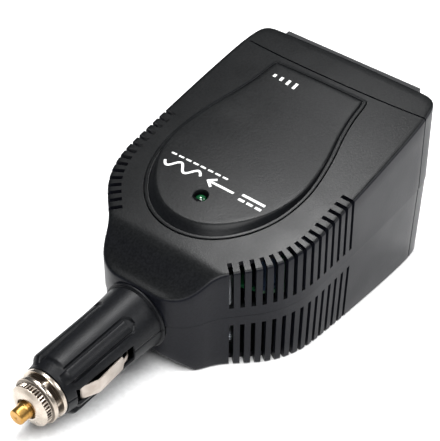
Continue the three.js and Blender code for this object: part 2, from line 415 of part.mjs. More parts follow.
// ---------------------------------------------------------------- row frame: base centre at the origin
group.updateMatrixWorld(true);
const bounds = new THREE.Box3().setFromObject(group), mid = bounds.getCenter(new THREE.Vector3());
export const SHIFT = [-mid.x, -mid.y, -bounds.min.z];
for (const m of group.children) m.geometry.translate(...SHIFT);
group.updateMatrixWorld(true);
export default group;
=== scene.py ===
# %% [markdown]
# # A plug-in power inverter, built as surfaces
# The real object is a small black box that turns a car's low-voltage supply into mains power. A thick
# barrel plug grows out of its front, a raised label panel with a green pilot light sits on top, and the
# rear carries a mains outlet and a rocker switch. Nearly every outside part is an injection moulding or a
# turned metal part, so almost all of it can be drawn as a formula: an outline pushed up a wall, a profile
# turned round an axis, or a flat shape raised in steps. That is what these cells do, one part at a time.

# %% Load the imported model
import bpy
import bmesh
import math
import numpy as np
from mathutils import Matrix, Vector


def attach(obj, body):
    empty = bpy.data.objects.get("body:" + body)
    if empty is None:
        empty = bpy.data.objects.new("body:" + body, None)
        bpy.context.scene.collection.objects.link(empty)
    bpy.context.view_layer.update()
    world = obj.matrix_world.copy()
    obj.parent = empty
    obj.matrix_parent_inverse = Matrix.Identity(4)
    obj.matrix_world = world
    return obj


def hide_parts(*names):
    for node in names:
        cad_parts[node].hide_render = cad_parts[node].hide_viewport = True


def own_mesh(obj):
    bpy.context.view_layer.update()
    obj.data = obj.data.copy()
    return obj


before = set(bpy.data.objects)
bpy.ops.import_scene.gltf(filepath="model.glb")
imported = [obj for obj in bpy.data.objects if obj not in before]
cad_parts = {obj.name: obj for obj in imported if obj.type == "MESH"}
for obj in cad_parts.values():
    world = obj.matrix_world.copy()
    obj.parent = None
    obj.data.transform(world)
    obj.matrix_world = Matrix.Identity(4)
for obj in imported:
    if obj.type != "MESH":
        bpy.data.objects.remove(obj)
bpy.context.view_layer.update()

# %% [markdown]
# ## Measures
# The drawing of this object has its origin at the root of the plug, with the plug's axis along x, so all
# numbers below are millimetres in that drawing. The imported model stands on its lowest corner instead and
# is in metres, so one function moves a point from the first to the second.

# %% Measures of the casing
SHIFT = np.array([33.459354, 0.0, 34.513401])
SEAM_Z, WALL = 0.8, 2.0
FLOOR_Z, FLOOR_SLOPE = -20.2, 0.123     # the underside over the origin, and its rise towards the plug
CAP_X, CAP_BOW, REAR_X = -105.8, 2.1, -117.8
LIP, PANEL_Y = 0.28, -1.8       # half the groove before the rear cover; the panel stands left of the axis
LID_EDGE, TRAY_EDGE = 0.9, 1.2  # radii of the edge over the wall and the edge under it
PLUG_HOLE = 11.8                # radius of the casing's hole for the plug
SLOTS, PITCH, SLOT_W, SLOT_REACH, SLOT_FROM, SLOT_TO_SEAM = 15, 3.62, 1.5, 4.7, -63.4, 4.0
HALF_OUTLINE = np.array([
    [0, 0], [0, 5], [-0.1, 9], [-1.0, 12.2], [-2.9, 15.6], [-5.4, 18.2], [-8.5, 20.2], [-11.8, 21.8],
    [-14.7, 23.7], [-17.2, 25.9], [-19.6, 28.2], [-22.1, 30.5], [-24.8, 32.8], [-27.7, 34.8], [-31, 36.6],
    [-34.4, 37.9], [-37.8, 38.9], [-41.4, 39.5], [-46, 39.8], [-55, 39.88], [-63.4, 39.88], [-75, 39.8],
    [-85, 39.65], [-96, 39.35], [-105, 38.9], [-110, 38.3], [-113.5, 37.6], [-115.7, 36.6], [-117.1, 35.0],
    [-117.7, 32.8], [-117.8, 30], [-117.8, 15], [-117.8, 0]])
HALF_PANEL = np.array([
    [-20.9, 0], [-21.1, 3], [-21.9, 7], [-23.2, 10.5], [-25.2, 14], [-27.9, 17.3], [-31.2, 20.3],
    [-35.3, 23.1], [-40, 25.4], [-45, 27], [-51, 28], [-57, 28.3], [-63, 27.8], [-70, 26.6], [-77, 24.9],
    [-85, 22.6], [-93, 20.9], [-100, 20.1], [-102.8, 19.4], [-103.5, 17.5], [-103.6, 9], [-103.6, 0]])

print("casing", round(-REAR_X, 1), "mm long,", 2 * HALF_OUTLINE[:, 1].max(), "mm wide")

# %% [markdown]
# ## Heights
# The top and the underside are single formulas of place, so every part that meets them, such as the panel or
# the table, can ask for the height it needs and always fits.

# %% Heights and the rear groove
def metres(points):
    """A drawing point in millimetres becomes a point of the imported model, which is in metres."""
    return (np.asarray(points, float) + SHIFT) / 1000.0


def ease(t):
    """Soft step from 0 to 1: three t squared less two t cubed, held flat outside 0 to 1."""
    t = np.clip(t, 0.0, 1.0)
    return t * t * (3 - 2 * t)


def top_z(x, y):
    """Height of the casing's top: a slope rising to the rear, a slight crown, and a soft dip to the nose."""
    return 16.9 - 0.14 * x + 1.0 * (1 - (y / 40) ** 2) - 5.2 * ease((x + 16.5) / 15.0)


def bottom_z(x):
    """Height of the underside: a slope falling to the rear, or the ramp of the nose where that is higher."""
    return np.maximum(FLOOR_Z + FLOOR_SLOPE * x, -13.2 + 1.08 * x)


def groove_x(y):
    """Where the rear cover meets the shells: nearly straight across, curving back towards the sides."""
    return CAP_X - CAP_BOW * np.minimum(np.abs(y) / 38.4, 1) ** 2.2


print("at the first vent the top is at", round(float(top_z(SLOT_FROM, 0)), 1), "mm")
print("and the underside at", round(float(bottom_z(SLOT_FROM)), 1), "mm")

# %% [markdown]
# ## Curves
# A plan is only a few dozen points. One tool draws a smooth curve through them, one measures along it, and
# one finds the points and outward directions at given distances.

# %% Curves
def smooth_line(points, per=16):
    """Curve through the points: each coordinate is the Catmull-Rom cubic of the four nearest points."""
    p = np.vstack([2 * points[0] - points[1], points, 2 * points[-1] - points[-2]])
    t = np.linspace(0, 1, per, endpoint=False)[:, None]
    a, b, c, d = p[:-3, None], p[1:-2, None], p[2:-1, None], p[3:, None]
    q = 0.5 * (2 * b + (c - a) * t + (2 * a - 5 * b + 4 * c - d) * t ** 2 + (3 * b - a - 3 * c + d) * t ** 3)
    return np.vstack([q.reshape(-1, points.shape[1]), points[-1]])


def walk(line):
    """Distance walked along a line of points, starting from 0."""
    return np.concatenate([[0], np.cumsum(np.linalg.norm(np.diff(line, axis=0), axis=1))])


def at(line, s, blur=0.0):
    """Points at walked distances s, and unit outward directions: the tangent over blur mm, turned a quarter.

    Both ends of a half plan lie on the centre line, so the line is carried on there in its mirror image.
    """
    flip = np.array([1.0, -1.0])
    whole = np.vstack([(line[1:] * flip)[::-1], line, (line[:-1] * flip)[::-1]])
    run = walk(whole) - walk(line)[-1]
    point, before, after = (np.stack([np.interp(q, run, whole[:, k]) for k in (0, 1)], -1)
                            for q in (s, s - max(blur, 0.2), s + max(blur, 0.2)))
    ahead = after - before
    ahead /= np.maximum(np.linalg.norm(ahead, axis=1, keepdims=True), 1e-9)
    return point, np.stack([ahead[:, 1], -ahead[:, 0]], -1)


outline = smooth_line(HALF_OUTLINE)
print("half the outline runs", round(walk(outline)[-1], 1), "mm")

# %% [markdown]
# ## From tables to meshes
# A surface is a table of points, and each face joins four neighbours. The mesh tool merges the points where
# two tables meet and makes every face look away from a point inside, because a wall would grow to the wrong
# side otherwise.

# %% Tables to meshes
def quads(rows, cols, keep=None, around=False):
    """Faces of a table of points: each joins a point to its neighbours in the next column and row."""
    i = np.arange(rows - 1)[:, None]
    j = np.arange(cols if around else cols - 1)[None, :]
    i2, j2 = i + 1, (j + 1) % cols
    f = np.stack(np.broadcast_arrays(i * cols + j, i * cols + j2, i2 * cols + j2, i2 * cols + j), -1)
    return f[keep] if keep is not None else f.reshape(-1, 4)


def both_sides(points, faces):
    """The same table twice: as drawn, and with y turned to minus y."""
    return [(points, faces), (np.asarray(points) * [1, -1, 1], faces)]


def make_piece(name, tables, inside, sharp=34):
    """One mesh from tables of (points, faces), merged within 5 micrometres; faces look away from inside."""
    start, co, faces = 0, [], []
    for points, f in tables:
        points = np.asarray(points, float).reshape(-1, 3)
        co.append(points)
        faces.append(np.asarray(f) + start)
        start += len(points)
    mesh = bpy.data.meshes.new(name)
    mesh.from_pydata(metres(np.vstack(co)).tolist(), [], np.vstack(faces).tolist())
    bm = bmesh.new()
    bm.from_mesh(mesh)
    bmesh.ops.remove_doubles(bm, verts=bm.verts, dist=5e-6)
    bmesh.ops.dissolve_degenerate(bm, edges=bm.edges, dist=2e-6)
    bmesh.ops.delete(bm, geom=[v for v in bm.verts if not v.link_faces], context="VERTS")
    bmesh.ops.recalc_face_normals(bm, faces=bm.faces)
    heart = metres(np.array(inside))
    away = sum(f.calc_area() * float(np.dot(np.array(f.normal), np.array(f.calc_center_median()) - heart))
               for f in bm.faces)
    if away < 0:
        bmesh.ops.reverse_faces(bm, faces=bm.faces)
    bm.to_mesh(mesh)
    bm.free()
    mesh.shade_smooth()
    mesh.set_sharp_from_angle(angle=math.radians(sharp))
    made = bpy.data.objects.new(name, mesh)
    bpy.context.scene.collection.objects.link(made)
    print(name, len(mesh.polygons), "faces")
    return made


print("a table of 3 by 3 points has", len(quads(3, 3)), "faces")

# %% [markdown]
# ## Walls and edges
# A moulded part is a thin wall, so a sheet and Blender's Solidify make it as the real one is. A small bevel
# follows, because no mould leaves a knife edge and the light catches on the round.

# %% Walls and edges
def thicken(made, mm, round_mm=0.0, segments=2):
    """Gives a sheet a wall towards its inside, then softens its hard edges."""
    wall = made.modifiers.new("wall", "SOLIDIFY")
    wall.thickness, wall.offset, wall.use_quality_normals = mm / 1000, -1, True
    return soften(made, round_mm, segments) if round_mm else made


def soften(made, mm, segments=2, angle=40):
    """Rounds the edges that turn by more than the angle in degrees."""
    edge = made.modifiers.new("edges", "BEVEL")
    edge.width, edge.segments = mm / 1000, segments
    edge.limit_method, edge.angle_limit = "ANGLE", math.radians(angle)
    edge.harden_normals, edge.use_clamp_overlap = True, True
    return made


print("walls", WALL, "mm")

# %% [markdown]
# ## Where the columns of the casing stand
# Both shells share one outline, and fifteen upright vents are cut through each side of both. If the columns
# of the table stand exactly on the edges of the vents, a vent is simply a face that isn't made, and it
# comes out with straight sides and square ends. Between the vents the columns are spread evenly.

# %% Columns along the outline
run_all = walk(outline)
corner = int(np.argmax((outline[:, 0] < groove_x(outline[:, 1]) + LIP) & (run_all > 60)))
s_end = run_all[corner]
s_vent = np.interp(-SLOT_FROM, -outline[:, 0], run_all) - PITCH * np.arange(SLOTS)
FRONT_COLUMNS, REAR_COLUMNS, CLEAR = 46, 34, 1.6    # columns on both sides of the vents, and the gap there
STRAIGHT = 14.0     # over the last 14 mm the columns turn to look straight sideways


def columns(outline_end):
    """Distances along the outline, the vent each belongs to (or -1), and each column's tangent offset."""
    edges = np.concatenate([s_vent - SLOT_W / 2, s_vent, s_vent + SLOT_W / 2])
    which = np.tile(np.arange(SLOTS), 3)
    shift = np.repeat([-SLOT_W / 2, 0, SLOT_W / 2], SLOTS)
    front = np.linspace(0, s_vent[-1] - CLEAR, FRONT_COLUMNS)
    rear = np.linspace(s_vent[0] + CLEAR, outline_end, REAR_COLUMNS)
    between = (s_vent[:-1] + s_vent[1:]) / 2
    s = np.concatenate([front, edges, between, rear])
    vent = np.concatenate([np.full(FRONT_COLUMNS, -1), which, np.full(SLOTS - 1 + REAR_COLUMNS, -1)])
    shift = np.concatenate([np.zeros(FRONT_COLUMNS), shift, np.zeros(SLOTS - 1 + REAR_COLUMNS)])
    order = np.argsort(s)
    return s[order], vent[order], shift[order]


col_s, col_vent, col_shift = columns(s_end)
base, out = at(outline, np.where(col_vent >= 0, col_s - col_shift, col_s), blur=0.8)
tangent = np.stack([-out[:, 1], out[:, 0]], -1)
base = base + tangent * col_shift[:, None]
square = ease((col_s - (s_end - STRAIGHT)) / STRAIGHT)[:, None]
out = out * (1 - square) + np.array([0.0, 1.0]) * square
out /= np.linalg.norm(out, axis=1, keepdims=True)
base[0], out[0] = [0, 0], [1, 0]
base[-1, 0] = groove_x(base[-1, 1]) + LIP
in_vent = (col_vent[:-1] >= 0) & (col_vent[:-1] == col_vent[1:])
print(len(col_s), "columns,", int(in_vent.sum() / 2), "vents a side")


def ring(d):
    """The outline moved inwards by d along each column's direction; the last columns follow the groove."""
    p = base - out * d
    bow = groove_x(p[:, 1]) - groove_x(base[:, 1])
    return np.stack([p[:, 0] + bow * square[:, 0], p[:, 1]], -1)

# %% [markdown]
# ## Upper shell
# On the real inverter this is an injection-moulded lid in black ABS. Its wall stands on the seam, turns over
# a small radius into the top, and the top has an opening for the label panel. It could be a box with
# bevels, but the plan is a free curve and the top is warped, so a table of points is simpler: one direction
# runs along the outline, the other climbs the wall, turns over the edge and crosses the top to the opening.

# %% Panel plan and plug hole
panel_line = smooth_line(HALF_PANEL, 24)


def clear_of_plug(points, faces, bore):
    """Opens the plug's round hole: faces wholly inside the bore go, points left inside move out to it."""
    points = np.array(points, float)
    flat = points.reshape(-1, 3)
    far = np.hypot(flat[:, 1], flat[:, 2])
    inner = (far < bore) & (flat[:, 0] > -10)
    faces = faces[~inner[faces].all(axis=1)]
    flat[inner, 1:] *= (bore / np.maximum(far[inner], 1e-6))[:, None]
    return flat, faces


print("the panel's plan runs", round(2 * walk(panel_line)[-1], 1), "mm")

# %% [markdown]
# ### Wall and top of the upper shell
# The wall's rows share their columns with the top's rows, so the two tables meet point for point.

# %% Upper shell, wall and top
def upper_wall():
    """Rows climb from the seam to the top, turn over a quarter circle and go in to the vents' inner ends."""
    r, rows, p = LID_EDGE, [], ring(0.0)
    rim = top_z(p[:, 0], p[:, 1]) - r
    rows.append(np.column_stack([p, np.full(len(p), SEAM_Z + 0.15)]))
    rows.append(np.column_stack([p, np.full(len(p), SEAM_Z + SLOT_TO_SEAM)]))
    for f in (0.25, 0.5, 0.75, 1.0):
        rows.append(np.column_stack([p, (SEAM_Z + SLOT_TO_SEAM) * (1 - f) + rim * f]))
    for a in np.radians([22.5, 45, 67.5, 90]):
        q = ring(r * (1 - math.cos(a)))
        rows.append(np.column_stack([q, top_z(q[:, 0], q[:, 1]) - r * (1 - math.sin(a))]))
    for d in (2.0, 3.3, SLOT_REACH):
        q = ring(d)
        rows.append(np.column_stack([q, top_z(q[:, 0], q[:, 1])]))
    keep = np.ones((len(rows) - 1, len(p) - 1), bool)
    keep[1:, in_vent] = False
    return np.array(rows), keep


def upper_deck(side):
    """Straight lines from the vents' inner ends and from the groove to the panel's opening, on the top."""
    edge = ring(SLOT_REACH)
    y = np.linspace(edge[-1, 1], 0, 26)[1:]
    outer = np.vstack([edge, np.column_stack([groove_x(y) + LIP, y])])
    total = walk(panel_line)[-1]
    bend = total - 19.3
    shoulder = np.interp(20.0, -outline[:, 0], run_all)
    u = np.concatenate([np.interp(col_s, [0, shoulder, s_end], [0, 20, bend]),
                        np.linspace(bend, total, 26)[1:]])
    seat, away = at(panel_line, u, blur=0.5)
    seat = seat + away * 0.28
    seat[0], seat[-1] = [-20.62, 0], [-103.88, 0]
    seat[:, 1] += PANEL_Y * side
    t = np.linspace(0, 1, 9)[:, None, None]
    p = outer[None] * (1 - t) + seat[None] * t
    return np.dstack([p, top_z(p[..., 0], p[..., 1])])


wall_rows, wall_keep = upper_wall()
print("wall", wall_rows.shape[0], "rows of", wall_rows.shape[1], "points")

# %% [markdown]
# ### Joining the upper shell
# Wall and top are each made for one side and mirrored. The panel stands a little left of the axis, so the top
# is worked out twice.

# %% Upper shell
right_deck, left_deck = upper_deck(1), upper_deck(-1) * [1, -1, 1]
deck_faces = quads(*right_deck.shape[:2])
wall_points, wall_faces = clear_of_plug(wall_rows, quads(*wall_rows.shape[:2], keep=wall_keep), PLUG_HOLE)
upper_shell = make_piece("upper_shell_moulding", both_sides(wall_points, wall_faces)
                         + [(right_deck, deck_faces), (left_deck, deck_faces)], (-60, 0, 5))
thicken(upper_shell, WALL, 0.12, 1)

# %% [markdown]
# ## Lower shell
# The tray that holds the works is moulded like the lid, but its walls lean in a little so that it leaves the
# mould, and its nose is cut off by a steep ramp under the plug. The rows go down the wall, round the bottom
# edge and across the floor to the middle. One row always lies on the crease between ramp and floor.

# %% Lower shell
def lean(z):
    """How far the lower wall stands inside the outline: 0.2 mm at the seam and 1.3 mm more 37 mm lower."""
    return 0.2 + 1.3 * (SEAM_Z - z) / 36.8


def lower_tray():
    """Rows go down the leaning wall, round a quarter circle, in to the vents' ends and across the floor."""
    r, rows = TRAY_EDGE, []
    foot = bottom_z(ring(1.0)[:, 0]) + r
    for z in (np.full(len(foot), SEAM_Z - 0.15), np.full(len(foot), SEAM_Z - SLOT_TO_SEAM)):
        rows.append(np.column_stack([base - out * lean(z)[:, None], z]))
    for f in (0.25, 0.5, 0.75, 1.0):
        z = (SEAM_Z - SLOT_TO_SEAM) * (1 - f) + foot * f
        q = base - out * lean(z)[:, None]
        rows.append(np.column_stack([q, z]))
    side = lean(foot)[:, None]
    for a in np.radians([22.5, 45, 67.5, 90]):
        q = base - out * (side + r * (1 - math.cos(a)))
        rows.append(np.column_stack([q, bottom_z(q[:, 0]) + r * (1 - math.sin(a))]))
    edge = base - out * SLOT_REACH
    rows.append(np.column_stack([edge, bottom_z(edge[:, 0])]))
    middle = np.column_stack([np.interp(col_s, [0, s_end], [-16, CAP_X + LIP]), np.zeros(len(edge))])
    crease = np.clip((-7.28 - edge[:, 0]) / np.minimum(middle[:, 0] - edge[:, 0], -1e-6), 0, 1)
    to_crease = crease * np.array([0.5, 1.0])[:, None]
    past_crease = crease + (1 - crease) * np.linspace(0.12, 1, 9)[:, None]
    for f in np.vstack([to_crease, past_crease]):
        q = edge * (1 - f[:, None]) + middle * f[:, None]
        bow = (groove_x(q[:, 1]) - groove_x(base[:, 1])) * square[:, 0]
        q[:, 0] += bow * (np.abs(col_s - s_end) < STRAIGHT)
        rows.append(np.column_stack([q, bottom_z(q[:, 0])]))
    rows = np.array(rows)
    rows[:, -1, 0] = groove_x(rows[:, -1, 1]) + LIP
    keep = np.ones((rows.shape[0] - 1, rows.shape[1] - 1), bool)
    keep[1:10, in_vent] = False
    return rows, keep


tray_rows, tray_keep = lower_tray()
tray_points, tray_faces = clear_of_plug(tray_rows, quads(*tray_rows.shape[:2], keep=tray_keep), PLUG_HOLE)
lower_shell = make_piece("lower_shell_moulding", both_sides(tray_points, tray_faces), (-60, 0, -5))
thicken(lower_shell, WALL, 0.12, 1)

# %% [markdown]
# ## Rear cover
# A deep cap closes the back of both shells and holds the outlet block in a square opening. Its table runs
# round the back from groove to groove, and every column goes in from the groove underneath, up the wall
# and in to the groove on top. A fine scribed line continues the shells' seam round it.

# %% Rear cover
OPENING, WALL_COLUMNS = 26.2, 34        # half the opening for the outlet block, and the columns outside it


def rear_cap():
    """Columns go round the back; rows go in along the underside, up the wall and over the top."""
    start = run_all[int(np.argmax((outline[:, 0] < groove_x(outline[:, 1]) - LIP) & (run_all > 60)))]
    total = run_all[-1]
    s = np.sort(np.concatenate([np.linspace(start, total - OPENING, WALL_COLUMNS),
                                total - np.linspace(OPENING, 0, 16)[1:]]))
    p0, n = at(outline, s, blur=0.6)
    sq = 1 - ease((s - start) / 5)[:, None]
    n = n * (1 - sq) + np.array([0.0, 1.0]) * sq
    n /= np.linalg.norm(n, axis=1, keepdims=True)
    p0[-1], n[-1] = [REAR_X, 0], [-1, 0]
    goal_y = (p0[0, 1] - 3.4) * (1 - (s - start) / (total - start))
    goal = np.column_stack([groove_x(goal_y) - LIP, goal_y])
    rows = []

    def put(q, z):
        q = q.copy()
        q[0, 0] = groove_x(q[0, 1]) - LIP
        rows.append(np.column_stack([q, z(q) if callable(z) else z]))

    r, foot_r = LID_EDGE, TRAY_EDGE
    foot = bottom_z((p0 - n)[:, 0]) + foot_r
    side = lean(foot)[:, None]
    under = p0 - n * (side + foot_r)
    for t in np.linspace(1, 0, 5)[:-1]:
        put(goal * t + under * (1 - t), lambda q: bottom_z(q[:, 0]))
    for a in np.radians([90, 67.5, 45, 22.5, 0]):
        put(p0 - n * (side + foot_r * (1 - math.cos(a))),
            lambda q: bottom_z(q[:, 0]) + foot_r * (1 - math.sin(a)))
    first = len(rows)
    for z in (-26.3, -18.0, -9.0, 0.5):
        put(p0 - n * float(lean(z)), np.full(len(s), z))
    for d, z in ((0.5, 0.6), (0.45, 1.0), (0.0, 1.1)):
        put(p0 - n * d, np.full(len(s), z))
    for z in (12.0, 21.0, 29.8):
        put(p0, np.full(len(s), z))
    last = len(rows)
    for a in np.radians([0, 22.5, 45, 67.5, 90]):
        put(p0 - n * r * (1 - math.cos(a)), lambda q: top_z(q[:, 0], q[:, 1]) - r * (1 - math.sin(a)))
    over = p0 - n * r
    for t in np.linspace(0, 1, 5)[1:]:
        put(over * (1 - t) + goal * t, lambda q: top_z(q[:, 0], q[:, 1]))
    rows = np.array(rows)
    keep = np.ones((rows.shape[0] - 1, rows.shape[1] - 1), bool)
    keep[first:last - 1, WALL_COLUMNS - 1:] = False
    return rows, keep


cap_rows, cap_keep = rear_cap()
cap_faces = quads(*cap_rows.shape[:2], keep=cap_keep)
rear_cover = make_piece("rear_cover_moulding", both_sides(cap_rows, cap_faces), (-110, 0, 0))
thicken(rear_cover, WALL, 0.1, 1)

# %% [markdown]
# ## Label panel
# A separate moulding is pressed into the lid: a flat rim, a hairline step, a chamfer and a smooth plateau
# for the print. Rings of the panel's plan, each moved in a little and set at its own height, draw the edge.
# The last ring lies on the centre line, except at the pilot light, where it follows a circle.

# %% Label panel
LED_X = -36.0
PLATEAU_FRONT, PLATEAU_REAR = -26.6, -100.5


def lift(x):
    """Height of the plateau over the lid: 2.5 mm in front, easing down to 0.9 mm at the rear."""
    return 2.5 - 1.6 * ease((-x - 25) / 70)


def panel():
    """Rings from rim to plateau by inset and height, then lines to the centre line or the light's bore."""
    mouth = 2.8
    turn = np.linspace(0, math.pi, 25)
    goal_x = np.concatenate([np.linspace(PLATEAU_FRONT, LED_X + mouth, 40)[:-1], LED_X + mouth * np.cos(turn),
                             np.linspace(LED_X - mouth, PLATEAU_REAR, 190)[1:]])
    hole = (np.abs(goal_x - LED_X) <= mouth + 1e-6)
    goal = np.column_stack([
        goal_x, np.where(hole, np.sqrt(np.maximum(mouth ** 2 - (goal_x - LED_X) ** 2, 0)), 0)])
    total = walk(panel_line)[-1]
    s = total * np.interp(goal_x, [PLATEAU_REAR, -88, -32, PLATEAU_FRONT], [1, 0.80, 0.20, 0])
    p0 = at(panel_line, s)[0]
    n = at(panel_line, s, blur=2.2)[1]
    n[0], n[-1] = [1, 0], [-1, 0]
    run = 3.9 - 2.2 * ease((-p0[:, 0] - 22) / 34)
    up = lift(p0[:, 0])
    steps = [(0, -0.9), (0, 0.3), (0.05, 0.41), (0.17, 0.45), (0.85, 0.45), (1.0, 0.36), (1.05, 0.14),
             (1.3, 0.12), (1.3 + (run - 1.3) * 0.5, 0.12 + (up - 0.12) * 0.5),
             (1.3 + (run - 1.3) * 0.86, 0.12 + (up - 0.12) * 0.86),
             (run, up - 0.16 * (up - 0.12) / 2.4 - 0.04), (run + 0.45, up - 0.02), (run + 0.9, up)]
    rows = []
    for d, h in steps:
        q = p0 - n * (d + np.zeros(len(s)))[:, None]
        q[0, 1] = q[-1, 1] = 0
        rows.append(np.column_stack([q, top_z(q[:, 0], q[:, 1]) + h]))
    edge = rows[-1][:, :2]
    for t in np.linspace(0, 1, 8)[1:]:
        q = edge * (1 - t) + goal * t
        rows.append(np.column_stack([q, top_z(q[:, 0], q[:, 1]) + lift(q[:, 0])]))
    for radius, drop in ((2.5, 0.35), (2.45, 0.5), (2.45, 4.0)):
        q = np.where(hole[:, None], np.array([LED_X, 0]) + (goal - [LED_X, 0]) * radius / mouth, goal)
        rows.append(np.column_stack([q, rows[len(steps) + 6][:, 2] - np.where(hole, drop, 0)]))
    keep = np.ones((len(rows) - 1, len(s) - 1), bool)
    keep[-3:] = (hole[:-1] & hole[1:])[None]
    return np.array(rows), keep


panel_rows, panel_keep = panel()
halves = both_sides(panel_rows, quads(*panel_rows.shape[:2], keep=panel_keep))
label_panel = make_piece("label_panel_moulding",
                         [(points + [0, PANEL_Y, 0], faces) for points, faces in halves],
                         (-60, 0, 0), sharp=28)
thicken(label_panel, 0.9)

# %% [markdown]
# ## Things turned on a lathe
# Most of the plug's metal is turned: a profile spun round the plug's axis. A profile is a list of corners,
# and a real tool never leaves them sharp, so one function rounds each corner before another carries the
# profile round. The radius may also depend on the angle, which is how the hexagon and the knurl are cut.

# %% Profiles and turning
def rounded(points, r=0.12):
    """Each inner corner becomes three points of the curve that starts r before it and ends r after it."""
    p = np.asarray(points, float)
    before, here, after = p[:-2], p[1:-1], p[2:]
    to_b, to_a = before - here, after - here
    lb, la = np.linalg.norm(to_b, axis=1, keepdims=True), np.linalg.norm(to_a, axis=1, keepdims=True)
    b = here + to_b * np.minimum(r / lb, 0.45)
    a = here + to_a * np.minimum(r / la, 0.45)
    mid = 0.25 * b + 0.5 * here + 0.25 * a
    return np.vstack([p[:1], np.stack([b, mid, a], 1).reshape(-1, 2), p[-1:]])


def turned(profile, count, shape=None, axis="x", centre=(0, 0)):
    """Row gives the place along the axis and the radius, column the angle; shape may change the radius."""
    angle = np.linspace(0, 2 * math.pi, count, endpoint=False)[None]
    along, radius = profile[:, :1] + 0 * angle, profile[:, 1:] + 0 * angle
    if shape is not None:
        radius = shape(along, radius, angle)
    if axis == "x":
        points = np.stack([along, radius * np.cos(angle), radius * np.sin(angle)], -1)
    else:
        points = np.stack([centre[0] + radius * np.cos(angle), centre[1] + radius * np.sin(angle), along], -1)
    return points, quads(len(profile), count, around=True)


print("a square corner becomes", rounded([(0, 0), (1, 0), (1, 1)]).round(2).tolist())

# %% [markdown]
# ## Plug body
# The plug is moulded in two halves that meet at the level of the casing's seam. Its barrel narrows slightly
# to the front, four raised grip ribs lie in shallow pockets with a rounded end, and each side has a long
# slot for a sprung contact. Radius as a function of place along the barrel and distance round it gives all
# of that; the slot is a block of faces that isn't made.

# %% Barrel and ribs
RIBS = np.radians([51, 129, 231, 309])


def barrel_radius(x, r, angle):
    """Barrel radius, less a pocket round each rib, plus the rib; both have edges that are soft steps."""
    for a in RIBS:
        w = np.abs(np.angle(np.exp(1j * (angle - a)))) * 10.8
        pocket_edge = np.where(x < 12.4, 3.05 - np.hypot(w, 12.4 - x), np.minimum(3.05 - w, 38.4 - x))
        rib_edge = np.minimum(np.minimum(2.15 - w, x - 11.6), 41.4 - x)
        pocket = ease(pocket_edge / 0.3 + 0.5)
        rib = ease(rib_edge / 0.35 + 0.3)
        inside = (x > 8.5) & (x < 42.2)
        r = np.where(inside, r - 0.75 * pocket, r)
        crest = 11.2 - 0.42 * (w / 2.15) ** 2 - 2.2 * ease((x - 38.6) / 3.6)
        r = np.where(inside, r + np.maximum(crest - r, 0) * rib, r)
    return r


print("ribs at", np.degrees(RIBS).round().tolist(), "degrees")

# %% [markdown]
# ### The two halves of the plug
# Each half is one table from seam to seam. The seam isn't drawn: the halves stay 0.24 mm apart, as moulded
# halves that are only clipped together do.

# %% Plug halves
def plug_half(side):
    """Columns go from seam to seam, at a constant height near the seams, so the slot's edges are straight."""
    head = rounded([(-7.4, 11.0), (-7.4, 12.9), (-5.2, 12.9), (-5.2, 11.5), (0.3, 11.5), (0.3, 12.3),
                    (0.8, 12.3), (1.2, 11.9), (1.2, 11.5)], 0.12)
    body_x = np.unique(np.concatenate([np.arange(1.4, 38.0, 0.3), [13.6, 37.9], np.arange(38.0, 42.5, 0.25)]))
    body_x = body_x[(np.abs(body_x - 13.6) > 0.12) | (body_x == 13.6)]
    body_r = np.interp(body_x, [1.2, 9, 37.8, 38.7, 42.6], [11.5, 11.1, 10.15, 9.55, 8.9])
    tail = rounded([(42.5, 8.92), (42.6, 8.8), (42.6, 5.9), (49, 5.9), (49, 4.75)], 0.1)
    profile = np.vstack([head, np.column_stack([body_x, body_r]), tail])
    x, r = profile[:, :1], profile[:, 1:]
    z0, z1 = (SEAM_Z + 0.12, 3.2) if side > 0 else (-(SEAM_Z - 0.12), 3.2)
    low = np.arcsin(np.clip(np.linspace(z0, z1, 6)[None] / np.maximum(r, 5.0), -1, 1))
    t = np.linspace(0, 1, 112)[None, 1:-1]
    first, middle = low[:, -1:], math.pi - 2 * low[:, -1:]
    angle = np.hstack([low, first + middle * t, math.pi - low[:, ::-1]])
    radius = barrel_radius(x + 0 * angle, r + 0 * angle, angle if side > 0 else -angle)
    y, z = radius * np.cos(angle), radius * np.sin(angle) * side
    z = np.where(x < -5.1, np.clip(z, -9, 9), z)
    points = np.stack([x + 0 * angle, y, z], -1)
    slot = (profile[:-1, 0] >= 13.59) & (profile[1:, 0] <= 39.1)
    keep = np.ones((len(profile) - 1, angle.shape[1] - 1), bool)
    keep[np.ix_(slot, np.r_[0:5, angle.shape[1] - 6:angle.shape[1] - 1])] = False
    return points, quads(*points.shape[:2], keep=keep)


plug_upper = make_piece("plug_upper_moulding", [plug_half(1)], (20, 0, 0), sharp=40)
plug_lower = make_piece("plug_lower_moulding", [plug_half(-1)], (20, 0, 0), sharp=40)
for half in (plug_upper, plug_lower):
    thicken(half, 1.1)

# %% [markdown]
# ## Plated rings, screw cap and tip
# A flanged ring with a hexagon behind the cap, a screw cap with a fine straight knurl, and the sprung pin
# that touches the bottom of the socket. All are turned from bar; ring and cap are nickel plated, the pin is
# bare brass with a small centre mark from the lathe.

# %% Plated ring
def hexagon(x, r, angle):
    """Behind the flange the radius is the distance to the side of a hexagon, its corners slightly rounded."""
    flat = 7.9 * math.cos(math.pi / 6) / np.cos(((angle - 0.2) % (math.pi / 3)) - math.pi / 6)
    return np.where((x > 44.32) & (r > 6.5), np.minimum(flat, 7.72), r)


ring_profile = rounded([(43.6, 6.1), (42.9, 6.1), (42.9, 8.75), (44.3, 8.75), (44.3, 7.9), (44.36, 7.7),
                        (46.0, 7.7), (46.0, 6.1), (43.6, 6.1)], 0.22)
ferrule = make_piece("plated_hex_ring", [turned(ring_profile, 144, hexagon)], (44, 0, 0), sharp=30)

